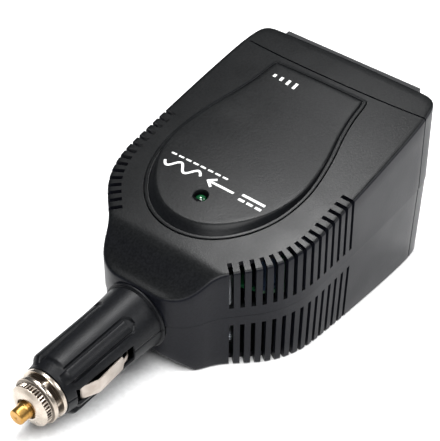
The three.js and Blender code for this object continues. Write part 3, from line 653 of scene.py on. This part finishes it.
# %% [markdown]
# ### Screw cap and painted shade
# The cap's knurl is a wave in its radius. Shade is painted into the knurl's grooves and round the ring's
# hexagon:
# each point of ring and cap also stores how deep it lies in a hollow, for the finish to read later.

# %% Screw cap
def knurl(x, r, angle):
    """Forty straight ridges: inside the knurled band the radius dips between them by 0.34 mm."""
    band = ease((x - 48.45) / 0.15) * ease((50.42 - x) / 0.15) * (r > 6.5)
    return r - 0.34 * band * (0.5 - 0.5 * np.cos(40 * angle)) ** 0.8


cap_front = rounded([(48.3, 6.2), (46.3, 6.2), (46.3, 8.1), (46.6, 8.45), (47.7, 8.45), (48.0, 8.1),
                     (48.2, 7.2), (48.35, 7.45)], 0.14)
cap_band = np.column_stack([np.linspace(48.4, 50.5, 15), np.full(15, 7.45)])
cap_face = rounded([(50.6, 7.45), (50.75, 7.1), (51.4, 6.0), (51.9, 4.6), (52.0, 3.7), (50.6, 3.7),
                    (50.6, 6.2), (48.3, 6.2)], 0.16)
cap_profile = np.vstack([cap_front, cap_band, cap_face])
screw_cap = make_piece("knurled_screw_cap", [turned(cap_profile, 320, knurl)], (49, 0, 0), sharp=26)


def paint_shade_in_hollows(made, depth):
    """Stores for every point how deep it lies in a hollow, where the finish paints shade: depth(x, radius), 0
    to 1.
    """
    co = np.empty(len(made.data.vertices) * 3)
    made.data.vertices.foreach_get("co", co)
    co = co.reshape(-1, 3) * 1000 - SHIFT
    stored = made.data.attributes.new("painted_shade_depth", "FLOAT", "POINT")
    stored.data.foreach_set("value", depth(co[:, 0], np.hypot(co[:, 1], co[:, 2])))


def shade_between_ridges(x, r):
    """Painted shade, full at the bottom of the knurl's grooves, and a little in the neck between flange and
    knurl.
    """
    groove = ease((7.42 - r) / 0.2) * (x > 48.42) * (x < 50.46)
    neck = 0.6 * (x > 47.98) * (x < 48.36)
    return np.maximum(groove, neck) * (r > 6.9)


# Painted shade on the hexagon behind the ring's flange, deepest at its root.
paint_shade_in_hollows(ferrule, lambda x, r: ease((x - 44.28) / 0.1) * (r > 6.5) * (0.95 - 0.8 * ease((r - 7.2) / 0.5)))
paint_shade_in_hollows(screw_cap, shade_between_ridges)

# %% [markdown]
# ### Tip pin and pilot light
# Both are plain turned shapes. The lens stands upright in the panel, so its profile is carried round the
# z axis.

# %% Tip pin and pilot light
pin_profile = rounded([(47.9, 0), (47.9, 4.3), (49.1, 4.3), (49.1, 2.95), (53.0, 2.95), (53.25, 2.75),
                       (56.3, 2.7), (56.6, 2.45), (56.6, 0.6), (56.35, 0.3), (56.3, 0)], 0.12)
tip_pin = make_piece("turned_tip_pin", [turned(pin_profile, 96)], (52, 0, 0), sharp=30)
led_top = float(top_z(LED_X, PANEL_Y) + lift(LED_X))
lens_profile = rounded([(led_top - drop, r) for drop, r in ((7, 0), (7, 2.0), (2.2, 2.0), (1.2, 1.75),
                                                            (0.7, 1.15), (0.47, 0.5), (0.45, 0))], 0.3)
led_lens = make_piece("pilot_light_lens", [turned(lens_profile, 64, axis="z", centre=(LED_X, PANEL_Y))],
                      (LED_X, PANEL_Y, led_top - 3), sharp=50)

# %% [markdown]
# ## Spring behind the tip
# A wound steel spring pushes the pin out. It is a round wire carried along a screw line whose turns lie close
# together at both ends, as on a real compression spring.

# %% Tip spring
COIL_REAR, COIL_FRONT, COIL_TURNS, COIL_ROWS, WIRE_COLUMNS = 40.2, 47.4, 4.5, 271, 10


def wound(radius, wire):
    """A circle carried along a screw line that climbs slowly near its ends, where the wire is pointed."""
    t = np.concatenate([[0], np.linspace(0, 1, COIL_ROWS), [1]])[:, None]
    thick = np.concatenate([[0], np.full(COIL_ROWS, wire), [0]])[:, None]
    angle = 2 * math.pi * COIL_TURNS * t
    around = np.linspace(0, 2 * math.pi, WIRE_COLUMNS, endpoint=False)[None]
    x = COIL_REAR + (COIL_FRONT - COIL_REAR) * (0.5 * t + 0.5 * ease(t)) + thick * np.sin(around)
    r = radius + thick * np.cos(around)
    return np.stack([x, r * np.cos(angle), r * np.sin(angle)], -1), quads(len(t), WIRE_COLUMNS, around=True)


tip_coil = make_piece("wound_tip_spring", [wound(3.3, 0.35)], (44, 3.3, 0), sharp=60)

# %% [markdown]
# ## Sprung side contacts
# Each is a strip of nickel-plated spring bronze that bulges out of its slot and springs in when the plug is
# pushed home. A centre line in the plane of the slot gives its path, a width function gives the narrow neck
# at the rear, and the strip is dished a little across its width.

# %% Side contacts
def leaf(side):
    """Rows follow the centre line, columns go across; the strip widens after the neck and is dished."""
    path = smooth_line(np.array([[14.6, 8.6], [16.2, 9.9], [19.2, 10.6], [25, 11.1], [30.6, 11.45],
                                 [31.6, 11.2], [36.0, 9.2], [36.8, 8.4]]), 10)
    half = (1.0 + 1.75 * ease((path[:, 0] - 18.6) / 0.4))[:, None]
    v = np.linspace(-1, 1, 13)[None]
    x, r = path[:, :1] + 0 * v, path[:, 1:] + 0.19 - 0.22 * v ** 2
    return np.stack([x, side * r, half * v], -1), quads(len(path), 13)


contact_right = make_piece("sprung_contact_right", [leaf(1)], (26, 0, 0))
contact_left = make_piece("sprung_contact_left", [leaf(-1)], (26, 0, 0))
for strip in (contact_right, contact_left):
    thicken(strip, 0.45, 0.12, 2)

# %% [markdown]
# ## Outlet, switch and small hardware
# The outlet block, the switch frame and the rocker are plain moulded shapes whose CAD forms are right, but a
# mould leaves every edge slightly round and round edges are what catch the light. So each gets a merged
# copy of its mesh with a small bevel.

# %% Rounded copies of the rear fittings
def rounded_copy(node, name, mm):
    """A merged copy of a CAD node: flat neighbours become one face again, then the hard edges are rounded."""
    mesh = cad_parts[node].data.copy()
    mesh.name = name
    mesh.materials.clear()
    bm = bmesh.new()
    bm.from_mesh(mesh)
    bmesh.ops.remove_doubles(bm, verts=bm.verts, dist=5e-6)
    bmesh.ops.recalc_face_normals(bm, faces=bm.faces)
    bmesh.ops.dissolve_limit(bm, angle_limit=math.radians(1), verts=bm.verts, edges=bm.edges)
    bm.to_mesh(mesh)
    bm.free()
    mesh.shade_smooth()
    mesh.set_sharp_from_angle(angle=math.radians(30))
    made = bpy.data.objects.new(name, mesh)
    bpy.context.scene.collection.objects.link(made)
    print(name, len(mesh.polygons), "faces")
    return soften(made, mm, 3)


outlet_face = rounded_copy("outlet_block", "outlet_moulding", 0.35)
switch_frame = rounded_copy("switch_housing", "switch_frame_moulding", 0.3)
rocker = rounded_copy("switch_rocker", "rocker_key", 0.45)

# %% [markdown]
# ## Print on the panel
# The panel carries plain symbols instead of words: the straight and dashed line that stands for direct
# current, an arrow, and the wave that stands for alternating current, with a row of dashes beside them and
# four plain bars near the rear. Each stroke is a ribbon that follows a path, two points wide, laid just over
# the plateau, as a pad print lies on the real one.

# %% Printed symbols
def stroke(path, width):
    """Ribbon along a path: every point is moved half the width to both sides of the direction of travel."""
    p = np.asarray(path, float)
    step = np.gradient(p, axis=0)
    length = np.maximum(np.linalg.norm(step, axis=1, keepdims=True), 1e-9)
    side = np.stack([-step[:, 1], step[:, 0]], -1) / length
    q = np.stack([p - side * width / 2, p + side * width / 2], 1)
    z = top_z(q[..., 0], q[..., 1] - PANEL_Y) + lift(q[..., 0]) + 0.03
    return np.dstack([q, z]), quads(len(p), 2)


def line(x0, y0, x1, y1, n=10):
    """Evenly spaced points from one end to the other."""
    return np.column_stack([np.linspace(x0, x1, n), np.linspace(y0, y1, n)])


ROW_X = -42.7
wave = np.linspace(0, 1, 60)
strokes = [(line(ROW_X - 1.1, 18.6, ROW_X - 1.1, 9.4), 1.0)]
strokes += [(line(ROW_X + 1.1, 18.6 - 3.4 * k, ROW_X + 1.1, 16.2 - 3.4 * k), 1.0) for k in range(3)]
strokes += [(line(ROW_X, 6.6, ROW_X, -3.6), 0.9)]
strokes += [(line(ROW_X + 1.9 * k, -1.6, ROW_X - 0.2 * k, -4.3), 0.9) for k in (1, -1)]
strokes += [(np.column_stack([ROW_X - 1.7 * np.sin(4 * math.pi * wave), -7.4 - 15.0 * wave]), 0.9)]
strokes += [(line(-46.6, 1.2 - 3.1 * k, -46.6, -0.9 - 3.1 * k), 0.7) for k in range(8)]
strokes += [(line(-94.0 - 0.5 * k, -7.2 - 3.1 * k, -96.9, -7.2 - 3.1 * k), 1.1) for k in range(4)]
panel_print = make_piece("panel_symbols", [stroke(*s) for s in strokes], (-60, 0, -40))

# %% [markdown]
# ## Finishes
# Each finish starts from what the real material is. One helper turns a written colour into light values, one
# adds a node with its settings and links, and one starts a material. Patterns are measured in metres of the
# object itself, so a grain of half a millimetre stays half a millimetre on every part.

# %% Colour and nodes
def colour(hexa, alpha=1.0):
    """Written sRGB colour to linear light: each channel over 255, then the standard curve."""
    c = np.array([int(hexa[i:i + 2], 16) for i in (1, 3, 5)]) / 255
    return (*np.where(c <= 0.04045, c / 12.92, ((c + 0.055) / 1.055) ** 2.4).tolist(), alpha)


def add(tree, kind, settings=None, links=None):
    """Adds one node: settings are its options or its sockets' values; links join its sockets to sources."""
    made = tree.nodes.new(kind)
    for key, value in (settings or {}).items():
        if isinstance(key, str) and hasattr(made, key):
            setattr(made, key, value)
        else:
            made.inputs[key].default_value = value
    for key, source in (links or {}).items():
        tree.links.new(source, made.inputs[key])
    return made


def finish_named(name, **sockets):
    """A new material with one shader; returns it with its node tree, the shader and object coordinates."""
    made = bpy.data.materials.new(name)
    made.use_nodes = True
    tree = made.node_tree
    tree.nodes.clear()
    shader = add(tree, "ShaderNodeBsdfPrincipled", {k.replace("_", " "): v for k, v in sockets.items()})
    add(tree, "ShaderNodeOutputMaterial", links={"Surface": shader.outputs[0]})
    return made, tree, shader, add(tree, "ShaderNodeTexCoord")


def grain(tree, where, mm, detail=2.0, low=0.35, high=0.65):
    """The material's own unevenness: lumps about mm wide, stretched so that low to high becomes 0 to 1."""
    lumps = add(tree, "ShaderNodeTexNoise", {"Scale": 1000.0 / mm, "Detail": detail}, {"Vector": where})
    return add(tree, "ShaderNodeMapRange", {"From Min": low, "From Max": high},
               {"Value": lumps.outputs[0]}).outputs[0]


print("middle grey in linear light", round(colour("#808080")[0], 3))

# %% [markdown]
# ### Moulded plastics
# Black ABS is never quite black: its pigment is a dark neutral grey, and the mould's etched grain scatters a
# soft grey sheen on the top, while the smoother side walls stay darker; their slightly blue colour is painted
# reflection of the pale room, set by which way each face looks. The noise in colour and height is that grain,
# drawn 0.7 mm wide because the real 0.1 mm would be too fine to show; a second, much larger noise in the
# roughness is handling wear.

# %% Moulded plastic
WEAR_MM, ABS_IOR = 14.0, 1.52


def moulded(name, dark, light, grain_mm, rough, depth_um, patch=0.05, specular=0.5, top=None):
    """Fine grain in colour and height, slow wear in roughness; top: (dark, light, rough) of what faces up,
    whose change of colour from the walls is painted reflection.
    """
    made, tree, shader, coords = finish_named(name, Specular_IOR_Level=specular, IOR=ABS_IOR)
    where = coords.outputs["Object"]
    fine, slow = grain(tree, where, grain_mm), grain(tree, where, WEAR_MM, 4.0)
    hue = add(tree, "ShaderNodeMix", {"data_type": "RGBA", 6: colour(dark), 7: colour(light)},
              {0: fine}).outputs[2]
    roughness = add(tree, "ShaderNodeMapRange", {"To Min": rough - patch / 2, "To Max": rough + patch / 2},
                    {"Value": slow}).outputs[0]
    # Faces that look up get their own colour and gloss: the gloss is the etched finish, the change of colour
    # from the walls is painted reflection.
    if top:
        facing = add(tree, "ShaderNodeSeparateXYZ", links={"Vector": coords.outputs["Normal"]}).outputs[2]
        up = add(tree, "ShaderNodeMapRange",
                 {"interpolation_type": "SMOOTHSTEP", "From Min": 0.62, "From Max": 0.93},
                 {"Value": facing}).outputs[0]
        up_facing_painted_tone = add(tree, "ShaderNodeMix", {"data_type": "RGBA", 6: colour(top[0]), 7: colour(top[1])},
                      {0: fine}).outputs[2]
        top_rough = add(tree, "ShaderNodeMapRange",
                        {"To Min": top[2] - patch / 2, "To Max": top[2] + patch / 2},
                        {"Value": slow}).outputs[0]
        hue = add(tree, "ShaderNodeMix", {"data_type": "RGBA"}, {0: up, 6: hue, 7: up_facing_painted_tone}).outputs[2]
        roughness = add(tree, "ShaderNodeMix", {"data_type": "FLOAT"},
                        {0: up, 2: roughness, 3: top_rough}).outputs[0]
    bump = add(tree, "ShaderNodeBump", {"Strength": 0.8, "Distance": depth_um * 1e-6}, {"Height": fine})
    tree.links.new(hue, shader.inputs["Base Color"])
    tree.links.new(roughness, shader.inputs["Roughness"])
    tree.links.new(bump.outputs[0], shader.inputs["Normal"])
    return made


print("wear patches", WEAR_MM, "mm, index", ABS_IOR)

# %% [markdown]
# ### The plastics of this object
# The same builder makes them all: only colours, grain, gloss and depth of the etching differ.

# %% Plastics
# ABS from an etched mould: a soft, broken sheen on top, plainer walls; the walls' slight blue is painted
# reflection.
casing_abs = moulded("etched_black_abs", "#0c0d12", "#121319", 0.7, 0.36, 12, specular=0.13,
                     top=("#08090a", "#131415", 0.33))
# The same ABS from a finer mould: the panel looks a shade smoother than the lid.
panel_abs = moulded("satin_black_abs_panel", "#090a0c", "#101113", 0.8, 0.36, 12, specular=0.13,
                    top=("#08090a", "#131415", 0.33))
# ABS from a polished mould, dulled by use: long soft highlights along the barrel.
plug_abs = moulded("polished_black_abs", "#0a0b0d", "#121316", 0.7, 0.42, 14, patch=0.06, specular=0.15)
# Polyamide with glass fibre, for heat: dull and faintly mottled.
outlet_pa = moulded("glass_filled_black_polyamide", "#121314", "#1c1d1f", 0.6, 0.5, 12)
# Unfilled polyamide: even, with a satin shine.
frame_pa = moulded("satin_black_switch_plastic", "#101112", "#191a1c", 0.6, 0.42, 8)
# Polycarbonate dyed red: glossy, so its rounded edges show clear highlights.
rocker_red = moulded("glossy_red_polycarbonate", "#a3120f", "#b51a15", 1.2, 0.2, 3)
# Grey nylon tube round the pilot light: matt.
spacer_grey = moulded("grey_light_pipe_spacer", "#3a3c3f", "#4a4c50", 0.8, 0.5, 8)
print("plastics", 7)

# %% [markdown]
# ### Metals
# Turned and plated parts show faint rings from the tool and a slightly milky plating. A metal's colour is its
# base colour, its index is left alone, and only roughness and height vary: fine tool lines across, with
# slow patches where fingers and sockets have dulled it. The lines are drawn 0.25 mm apart, coarser than real
# ones, so that they show.

# %% Metals
def metal(name, bright, dull, rough, line_mm=0.25, depth_um=3.0, lines=(1.0, 0.05, 0.05), painted_shade_colour=None):
    """Tool lines are noise squeezed to run round the axis; slow patches shift colour and roughness."""
    made, tree, shader, coords = finish_named(name, Metallic=1.0)
    where = coords.outputs["Object"]
    squeezed = add(tree, "ShaderNodeMapping", {"Scale": lines}, {"Vector": where}).outputs[0]
    tool, slow = grain(tree, squeezed, line_mm, 3.0), grain(tree, where, 5.0, 4.0)
    hue = add(tree, "ShaderNodeMix", {"data_type": "RGBA", 6: colour(bright), 7: colour(dull)},
              {0: slow}).outputs[2]
    worn = add(tree, "ShaderNodeMapRange", {"To Min": rough - 0.05, "To Max": rough + 0.08},
               {"Value": slow}).outputs[0]
    # Painted shade: the stored depth turns the colour towards a dark brown and also makes it rougher.
    if painted_shade_colour:
        painted_shade_depth = add(tree, "ShaderNodeAttribute", {"attribute_name": "painted_shade_depth"}).outputs["Fac"]
        hue = add(tree, "ShaderNodeMix", {"data_type": "RGBA", 7: colour(painted_shade_colour)},
                  {0: painted_shade_depth, 6: hue}).outputs[2]
        worn = add(tree, "ShaderNodeMath", {"operation": "MULTIPLY_ADD", 1: 0.3},
                   {0: painted_shade_depth, 2: worn}).outputs[0]
    tree.links.new(hue, shader.inputs["Base Color"])
    tree.links.new(worn, shader.inputs["Roughness"])
    bump = add(tree, "ShaderNodeBump", {"Strength": 0.7, "Distance": depth_um * 1e-6}, {"Height": tool})
    tree.links.new(bump.outputs[0], shader.inputs["Normal"])
    return made


# Nickel over brass: warm, bright, a little milky.
nickel = metal("bright_nickel_plate", "#c8beb2", "#b0a598", 0.26)
# The same with shade painted into the grooves: brown in the hollows, bright on the crests.
nickel_with_painted_shade = metal("nickel_plate_with_shade_painted_in_grooves", "#c8beb2", "#b0a598", 0.26, painted_shade_colour="#2a2019")
# Nickel over rolled spring bronze: lines along the strip, duller from rubbing.
strip_nickel = metal("nickel_plated_spring_bronze", "#b2a9a1", "#9f958c", 0.36, lines=(0.1, 1.0, 1.0))
# Bare turned brass: deep yellow with rings from the tool.
brass = metal("turned_brass", "#c69c58", "#a67c3e", 0.33)
# Zinc on steel: cool grey, slightly dull.
zinc_steel = metal("zinc_plated_steel", "#b9bcc0", "#9a9da2", 0.34)
# Extruded aluminium: draw lines along the bar.
aluminium = metal("extruded_aluminium", "#c9ccce", "#a9acb0", 0.4, lines=(0.03, 1.0, 1.0))
# Copper under clear enamel: orange brown, with ridges from turn to turn.
copper = metal("enamelled_copper_wire", "#b8642f", "#8f451c", 0.3, 0.5, 20, (1.0, 0.15, 0.15))
# An aluminium can in a thin blue sleeve: dark blue with a metal shine.
can_metal = metal("sleeved_capacitor_can", "#3a4a63", "#2b374b", 0.35)
print("metals", 8)

# %% [markdown]
# ### Lens, print and glass
# The pilot light's lens is dyed polycarbonate that scatters its colour. The print is a thin white ink that
# lets a little of the black through. The fuse's tube is clear glass, faintly uneven.

# %% Lens, print and glass
def dyed(name, dark, light, mm, **sockets):
    """A finish whose colour alone varies, in lumps about mm wide."""
    made, tree, shader, coords = finish_named(name, **sockets)
    hue = add(tree, "ShaderNodeMix", {"data_type": "RGBA", 6: colour(dark), 7: colour(light)},
              {0: grain(tree, coords.outputs["Object"], mm)})
    tree.links.new(hue.outputs[2], shader.inputs["Base Color"])
    return made


lens_green = dyed("dyed_green_polycarbonate", "#06301a", "#0c4a28", 1.2, Roughness=0.16, IOR=1.58,
                  Coat_Weight=0.4, Coat_Roughness=0.1)
ink_white = dyed("white_pad_print_ink", "#c9cac8", "#e9eae8", 0.5, Roughness=0.5, IOR=1.5)
fuse_glass, tree, shader, coords = finish_named("fuse_glass_tube", IOR=1.5, Transmission_Weight=1.0)
haze = add(tree, "ShaderNodeMapRange", {"To Min": 0.02, "To Max": 0.08},
           {"Value": grain(tree, coords.outputs["Object"], 3.0)})
tree.links.new(haze.outputs[0], shader.inputs["Roughness"])
print("lens, ink and glass", 3)

# %% [markdown]
# ### The works inside
# Circuit board, ferrite, tape and wire sleeves are only seen through the vents, but each has its own grain.

# %% The works inside
board_green = moulded("solder_masked_board", "#0f4a2a", "#1a6238", 1.4, 0.35, 6)    # lacquer over glass weave
ferrite = moulded("sintered_ferrite", "#26272a", "#35373b", 0.5, 0.75, 25)    # dark, dry, gritty
yellow_tape = moulded("polyester_winding_tape", "#c9a431", "#dab848", 2.0, 0.3, 4)    # thin and shiny
black_epoxy = moulded("moulded_epoxy_package", "#17181a", "#222326", 0.4, 0.6, 10)    # matt, fine filler
sleeve_red = moulded("red_pvc_sleeve", "#a81c1a", "#bd2a26", 1.0, 0.4, 6)    # soft waxy shine
sleeve_black = moulded("black_pvc_sleeve", "#141415", "#1f1f21", 1.0, 0.4, 6)
sleeve_blue = moulded("blue_pvc_sleeve", "#1c3f8f", "#2850a8", 1.0, 0.4, 6)
sleeve_brown = moulded("brown_pvc_sleeve", "#53301c", "#663d26", 1.0, 0.4, 6)
insulator_cream = moulded("pressed_paper_insulator", "#b9a983", "#cdbf9b", 0.6, 0.7, 15)    # fibrous and dull
print("materials", len(bpy.data.materials))

# %% [markdown]
# ## Give every piece its finish and its body
# A new piece names the CAD nodes it stands for and the body it moves with. The other nodes keep their shape
# and only get a better finish.

# %% New pieces
for made, finish_used, node, body, slot_name in (
        (upper_shell, casing_abs, "upper_shell", "inverter", "matte_black"),
        (lower_shell, casing_abs, "lower_shell", "inverter", "matte_black"),
        (rear_cover, casing_abs, "rear_cover", "inverter", "matte_black"),
        (label_panel, panel_abs, "label_panel", "inverter", "matte_black"),
        (plug_upper, plug_abs, "plug_shell_upper", "inverter", "gloss_black"),
        (plug_lower, plug_abs, "plug_shell_lower", "inverter", "gloss_black"),
        (ferrule, nickel_with_painted_shade, "ferrule_ring", "inverter", "nickel"),
        (screw_cap, nickel_with_painted_shade, "screw_cap", "cap_nut", "nickel"),
        (tip_pin, brass, "tip_pin", "tip_pin", "brass"),
        (led_lens, lens_green, "led_lens", "inverter", "green_lens"),
        (contact_right, strip_nickel, "side_contact_right", "contact_spring_right", "nickel"),
        (contact_left, strip_nickel, "side_contact_left", "contact_spring_left", "nickel"),
        (outlet_face, outlet_pa, "outlet_block", "inverter", "gloss_black"),
        (switch_frame, frame_pa, "switch_housing", "inverter", "gloss_black"),
        (rocker, rocker_red, "switch_rocker", "rocker", "red_plastic"),
        (tip_coil, zinc_steel, "tip_spring", "inverter", "steel"),
        (panel_print, ink_white, None, "inverter", None)):
    made.data.materials.clear()
    made.data.materials.append(finish_used)
    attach(made, body)
    if node:
        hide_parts(node)
    print(made.name, "rides on", body)
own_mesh(tip_coil)

# %% [markdown]
# ### Finishes of the kept nodes
# Their shapes come from the CAD model as they are; only the material slot changes.

# %% Kept nodes
for finish_used, nodes in (
        (sleeve_blue, "ac_lead_blue"), (sleeve_brown, "ac_lead_brown"), (sleeve_red, "dc_lead_red"),
        (sleeve_black, "dc_lead_black"), (can_metal, "bus_capacitor input_capacitor_1 input_capacitor_2"),
        (insulator_cream, "cap_insulator"), (board_green, "circuit_board"), (spacer_grey, "led_spacer"),
        (brass, "contact_earth contact_live contact_neutral fuse_contact"),
        (nickel, "fuse_cap_front fuse_cap_rear"),
        (fuse_glass, "fuse_tube"), (copper, "fuse_wire winding_front"), (yellow_tape, "winding_rear"),
        (aluminium, "heat_sink_left heat_sink_right"), (ferrite, "output_choke transformer_core"),
        (black_epoxy, "buzzer control_chip mosfet_left_1 mosfet_left_2 mosfet_right_1 mosfet_right_2"),
        (zinc_steel, "casing_screw_1 casing_screw_2 casing_screw_3 casing_screw_4")):
    for node in nodes.split():
        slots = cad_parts[node].data.materials
        slots.clear()
        slots.append(finish_used)
    print(finish_used.name, "on", nodes)

# %% [markdown]
# ## Table
# The casing's underside slopes, so the inverter rests nose up on its tray. The pale table lies along that
# underside, just under it.

# %% Table
TABLE_HALF, TABLE_GAP = 1600.0, 0.06
table_line = np.linspace(-TABLE_HALF, TABLE_HALF, 9)
tx, ty = np.meshgrid(table_line, table_line, indexing="ij")
table_points = np.stack([tx, ty, FLOOR_Z + FLOOR_SLOPE * tx - TABLE_GAP], -1)
table = make_piece("studio_table", [(table_points, quads(9, 9))], (0, 0, -9000))
table.data.materials.append(dyed("matt_white_paper", "#f4f4f4", "#ffffff", 2.0, Roughness=0.8))

# %% [markdown]
# ## Room and lamps
# One large lamp lights everything softly. Black plastic shows its shape only by what it mirrors, so a small
# lamp stands where the lid's right front mirrors it, and another where the barrel and its ribs do. The room
# itself is dim, so that the walls stay dark, but looks pale where nothing stands in front of it.

# %% Room and lamps
world = bpy.data.worlds.new("pale_room")
bpy.context.scene.world = world
world.use_nodes = True
room = world.node_tree.nodes["Background"]
room.inputs[0].default_value = colour("#e4e9f0")
seen = add(world.node_tree, "ShaderNodeLightPath").outputs["Is Camera Ray"]
strength = add(world.node_tree, "ShaderNodeMapRange", {"To Min": 0.12, "To Max": 1.05}, {"Value": seen})
world.node_tree.links.new(strength.outputs[0], room.inputs[1])


def soft_light(name, place, target, size, power):
    """A square lamp at place that looks at target."""
    lamp = bpy.data.lights.new(name, "AREA")
    lamp.size, lamp.energy = size, power
    made = bpy.data.objects.new(name, lamp)
    bpy.context.scene.collection.objects.link(made)
    made.location = place
    made.rotation_mode = "QUATERNION"
    made.rotation_quaternion = (Vector(target) - Vector(place)).to_track_quat("-Z", "Y")
    print(name, power, "W")


soft_light("key_above_the_camera", (0.45, 0.35, 1.25), (0, 0, 0), 0.9, 24)
soft_light("sheen_from_behind", (-0.20, -0.16, 0.58), (0, 0.02, 0.05), 0.14, 3.3)
soft_light("sheen_from_the_right", (-0.62, 0.60, 0.62), (0.05, 0, 0.03), 0.42, 5.0)

# %% [markdown]
# ## Camera
# A long lens looks down at the plug and the right side. Its axes are built from the directions that run
# right and down in the view, so the camera needs no angles.

# %% Camera
EYE = (0.30536, 0.24889, 0.40128)
camera = bpy.data.objects.new("camera", bpy.data.cameras.new("camera"))
bpy.context.scene.collection.objects.link(camera)
bpy.context.scene.camera = camera
camera.data.lens, camera.data.sensor_width = 130.6, 36.0
camera.data.clip_start, camera.data.clip_end = 0.01, 20
right, down = np.array([-0.617, 0.787, -0.003]), np.array([0.524, 0.408, -0.748])
right /= np.linalg.norm(right)
back = np.cross(right, -down)
back /= np.linalg.norm(back)
up = np.cross(back, right)
camera.matrix_world = Matrix([[*row] for row in zip(right, up, back, EYE)] + [[0, 0, 0, 1]])
bpy.context.scene.view_settings.view_transform = "Standard"
print("camera", [round(c, 3) for c in camera.location])
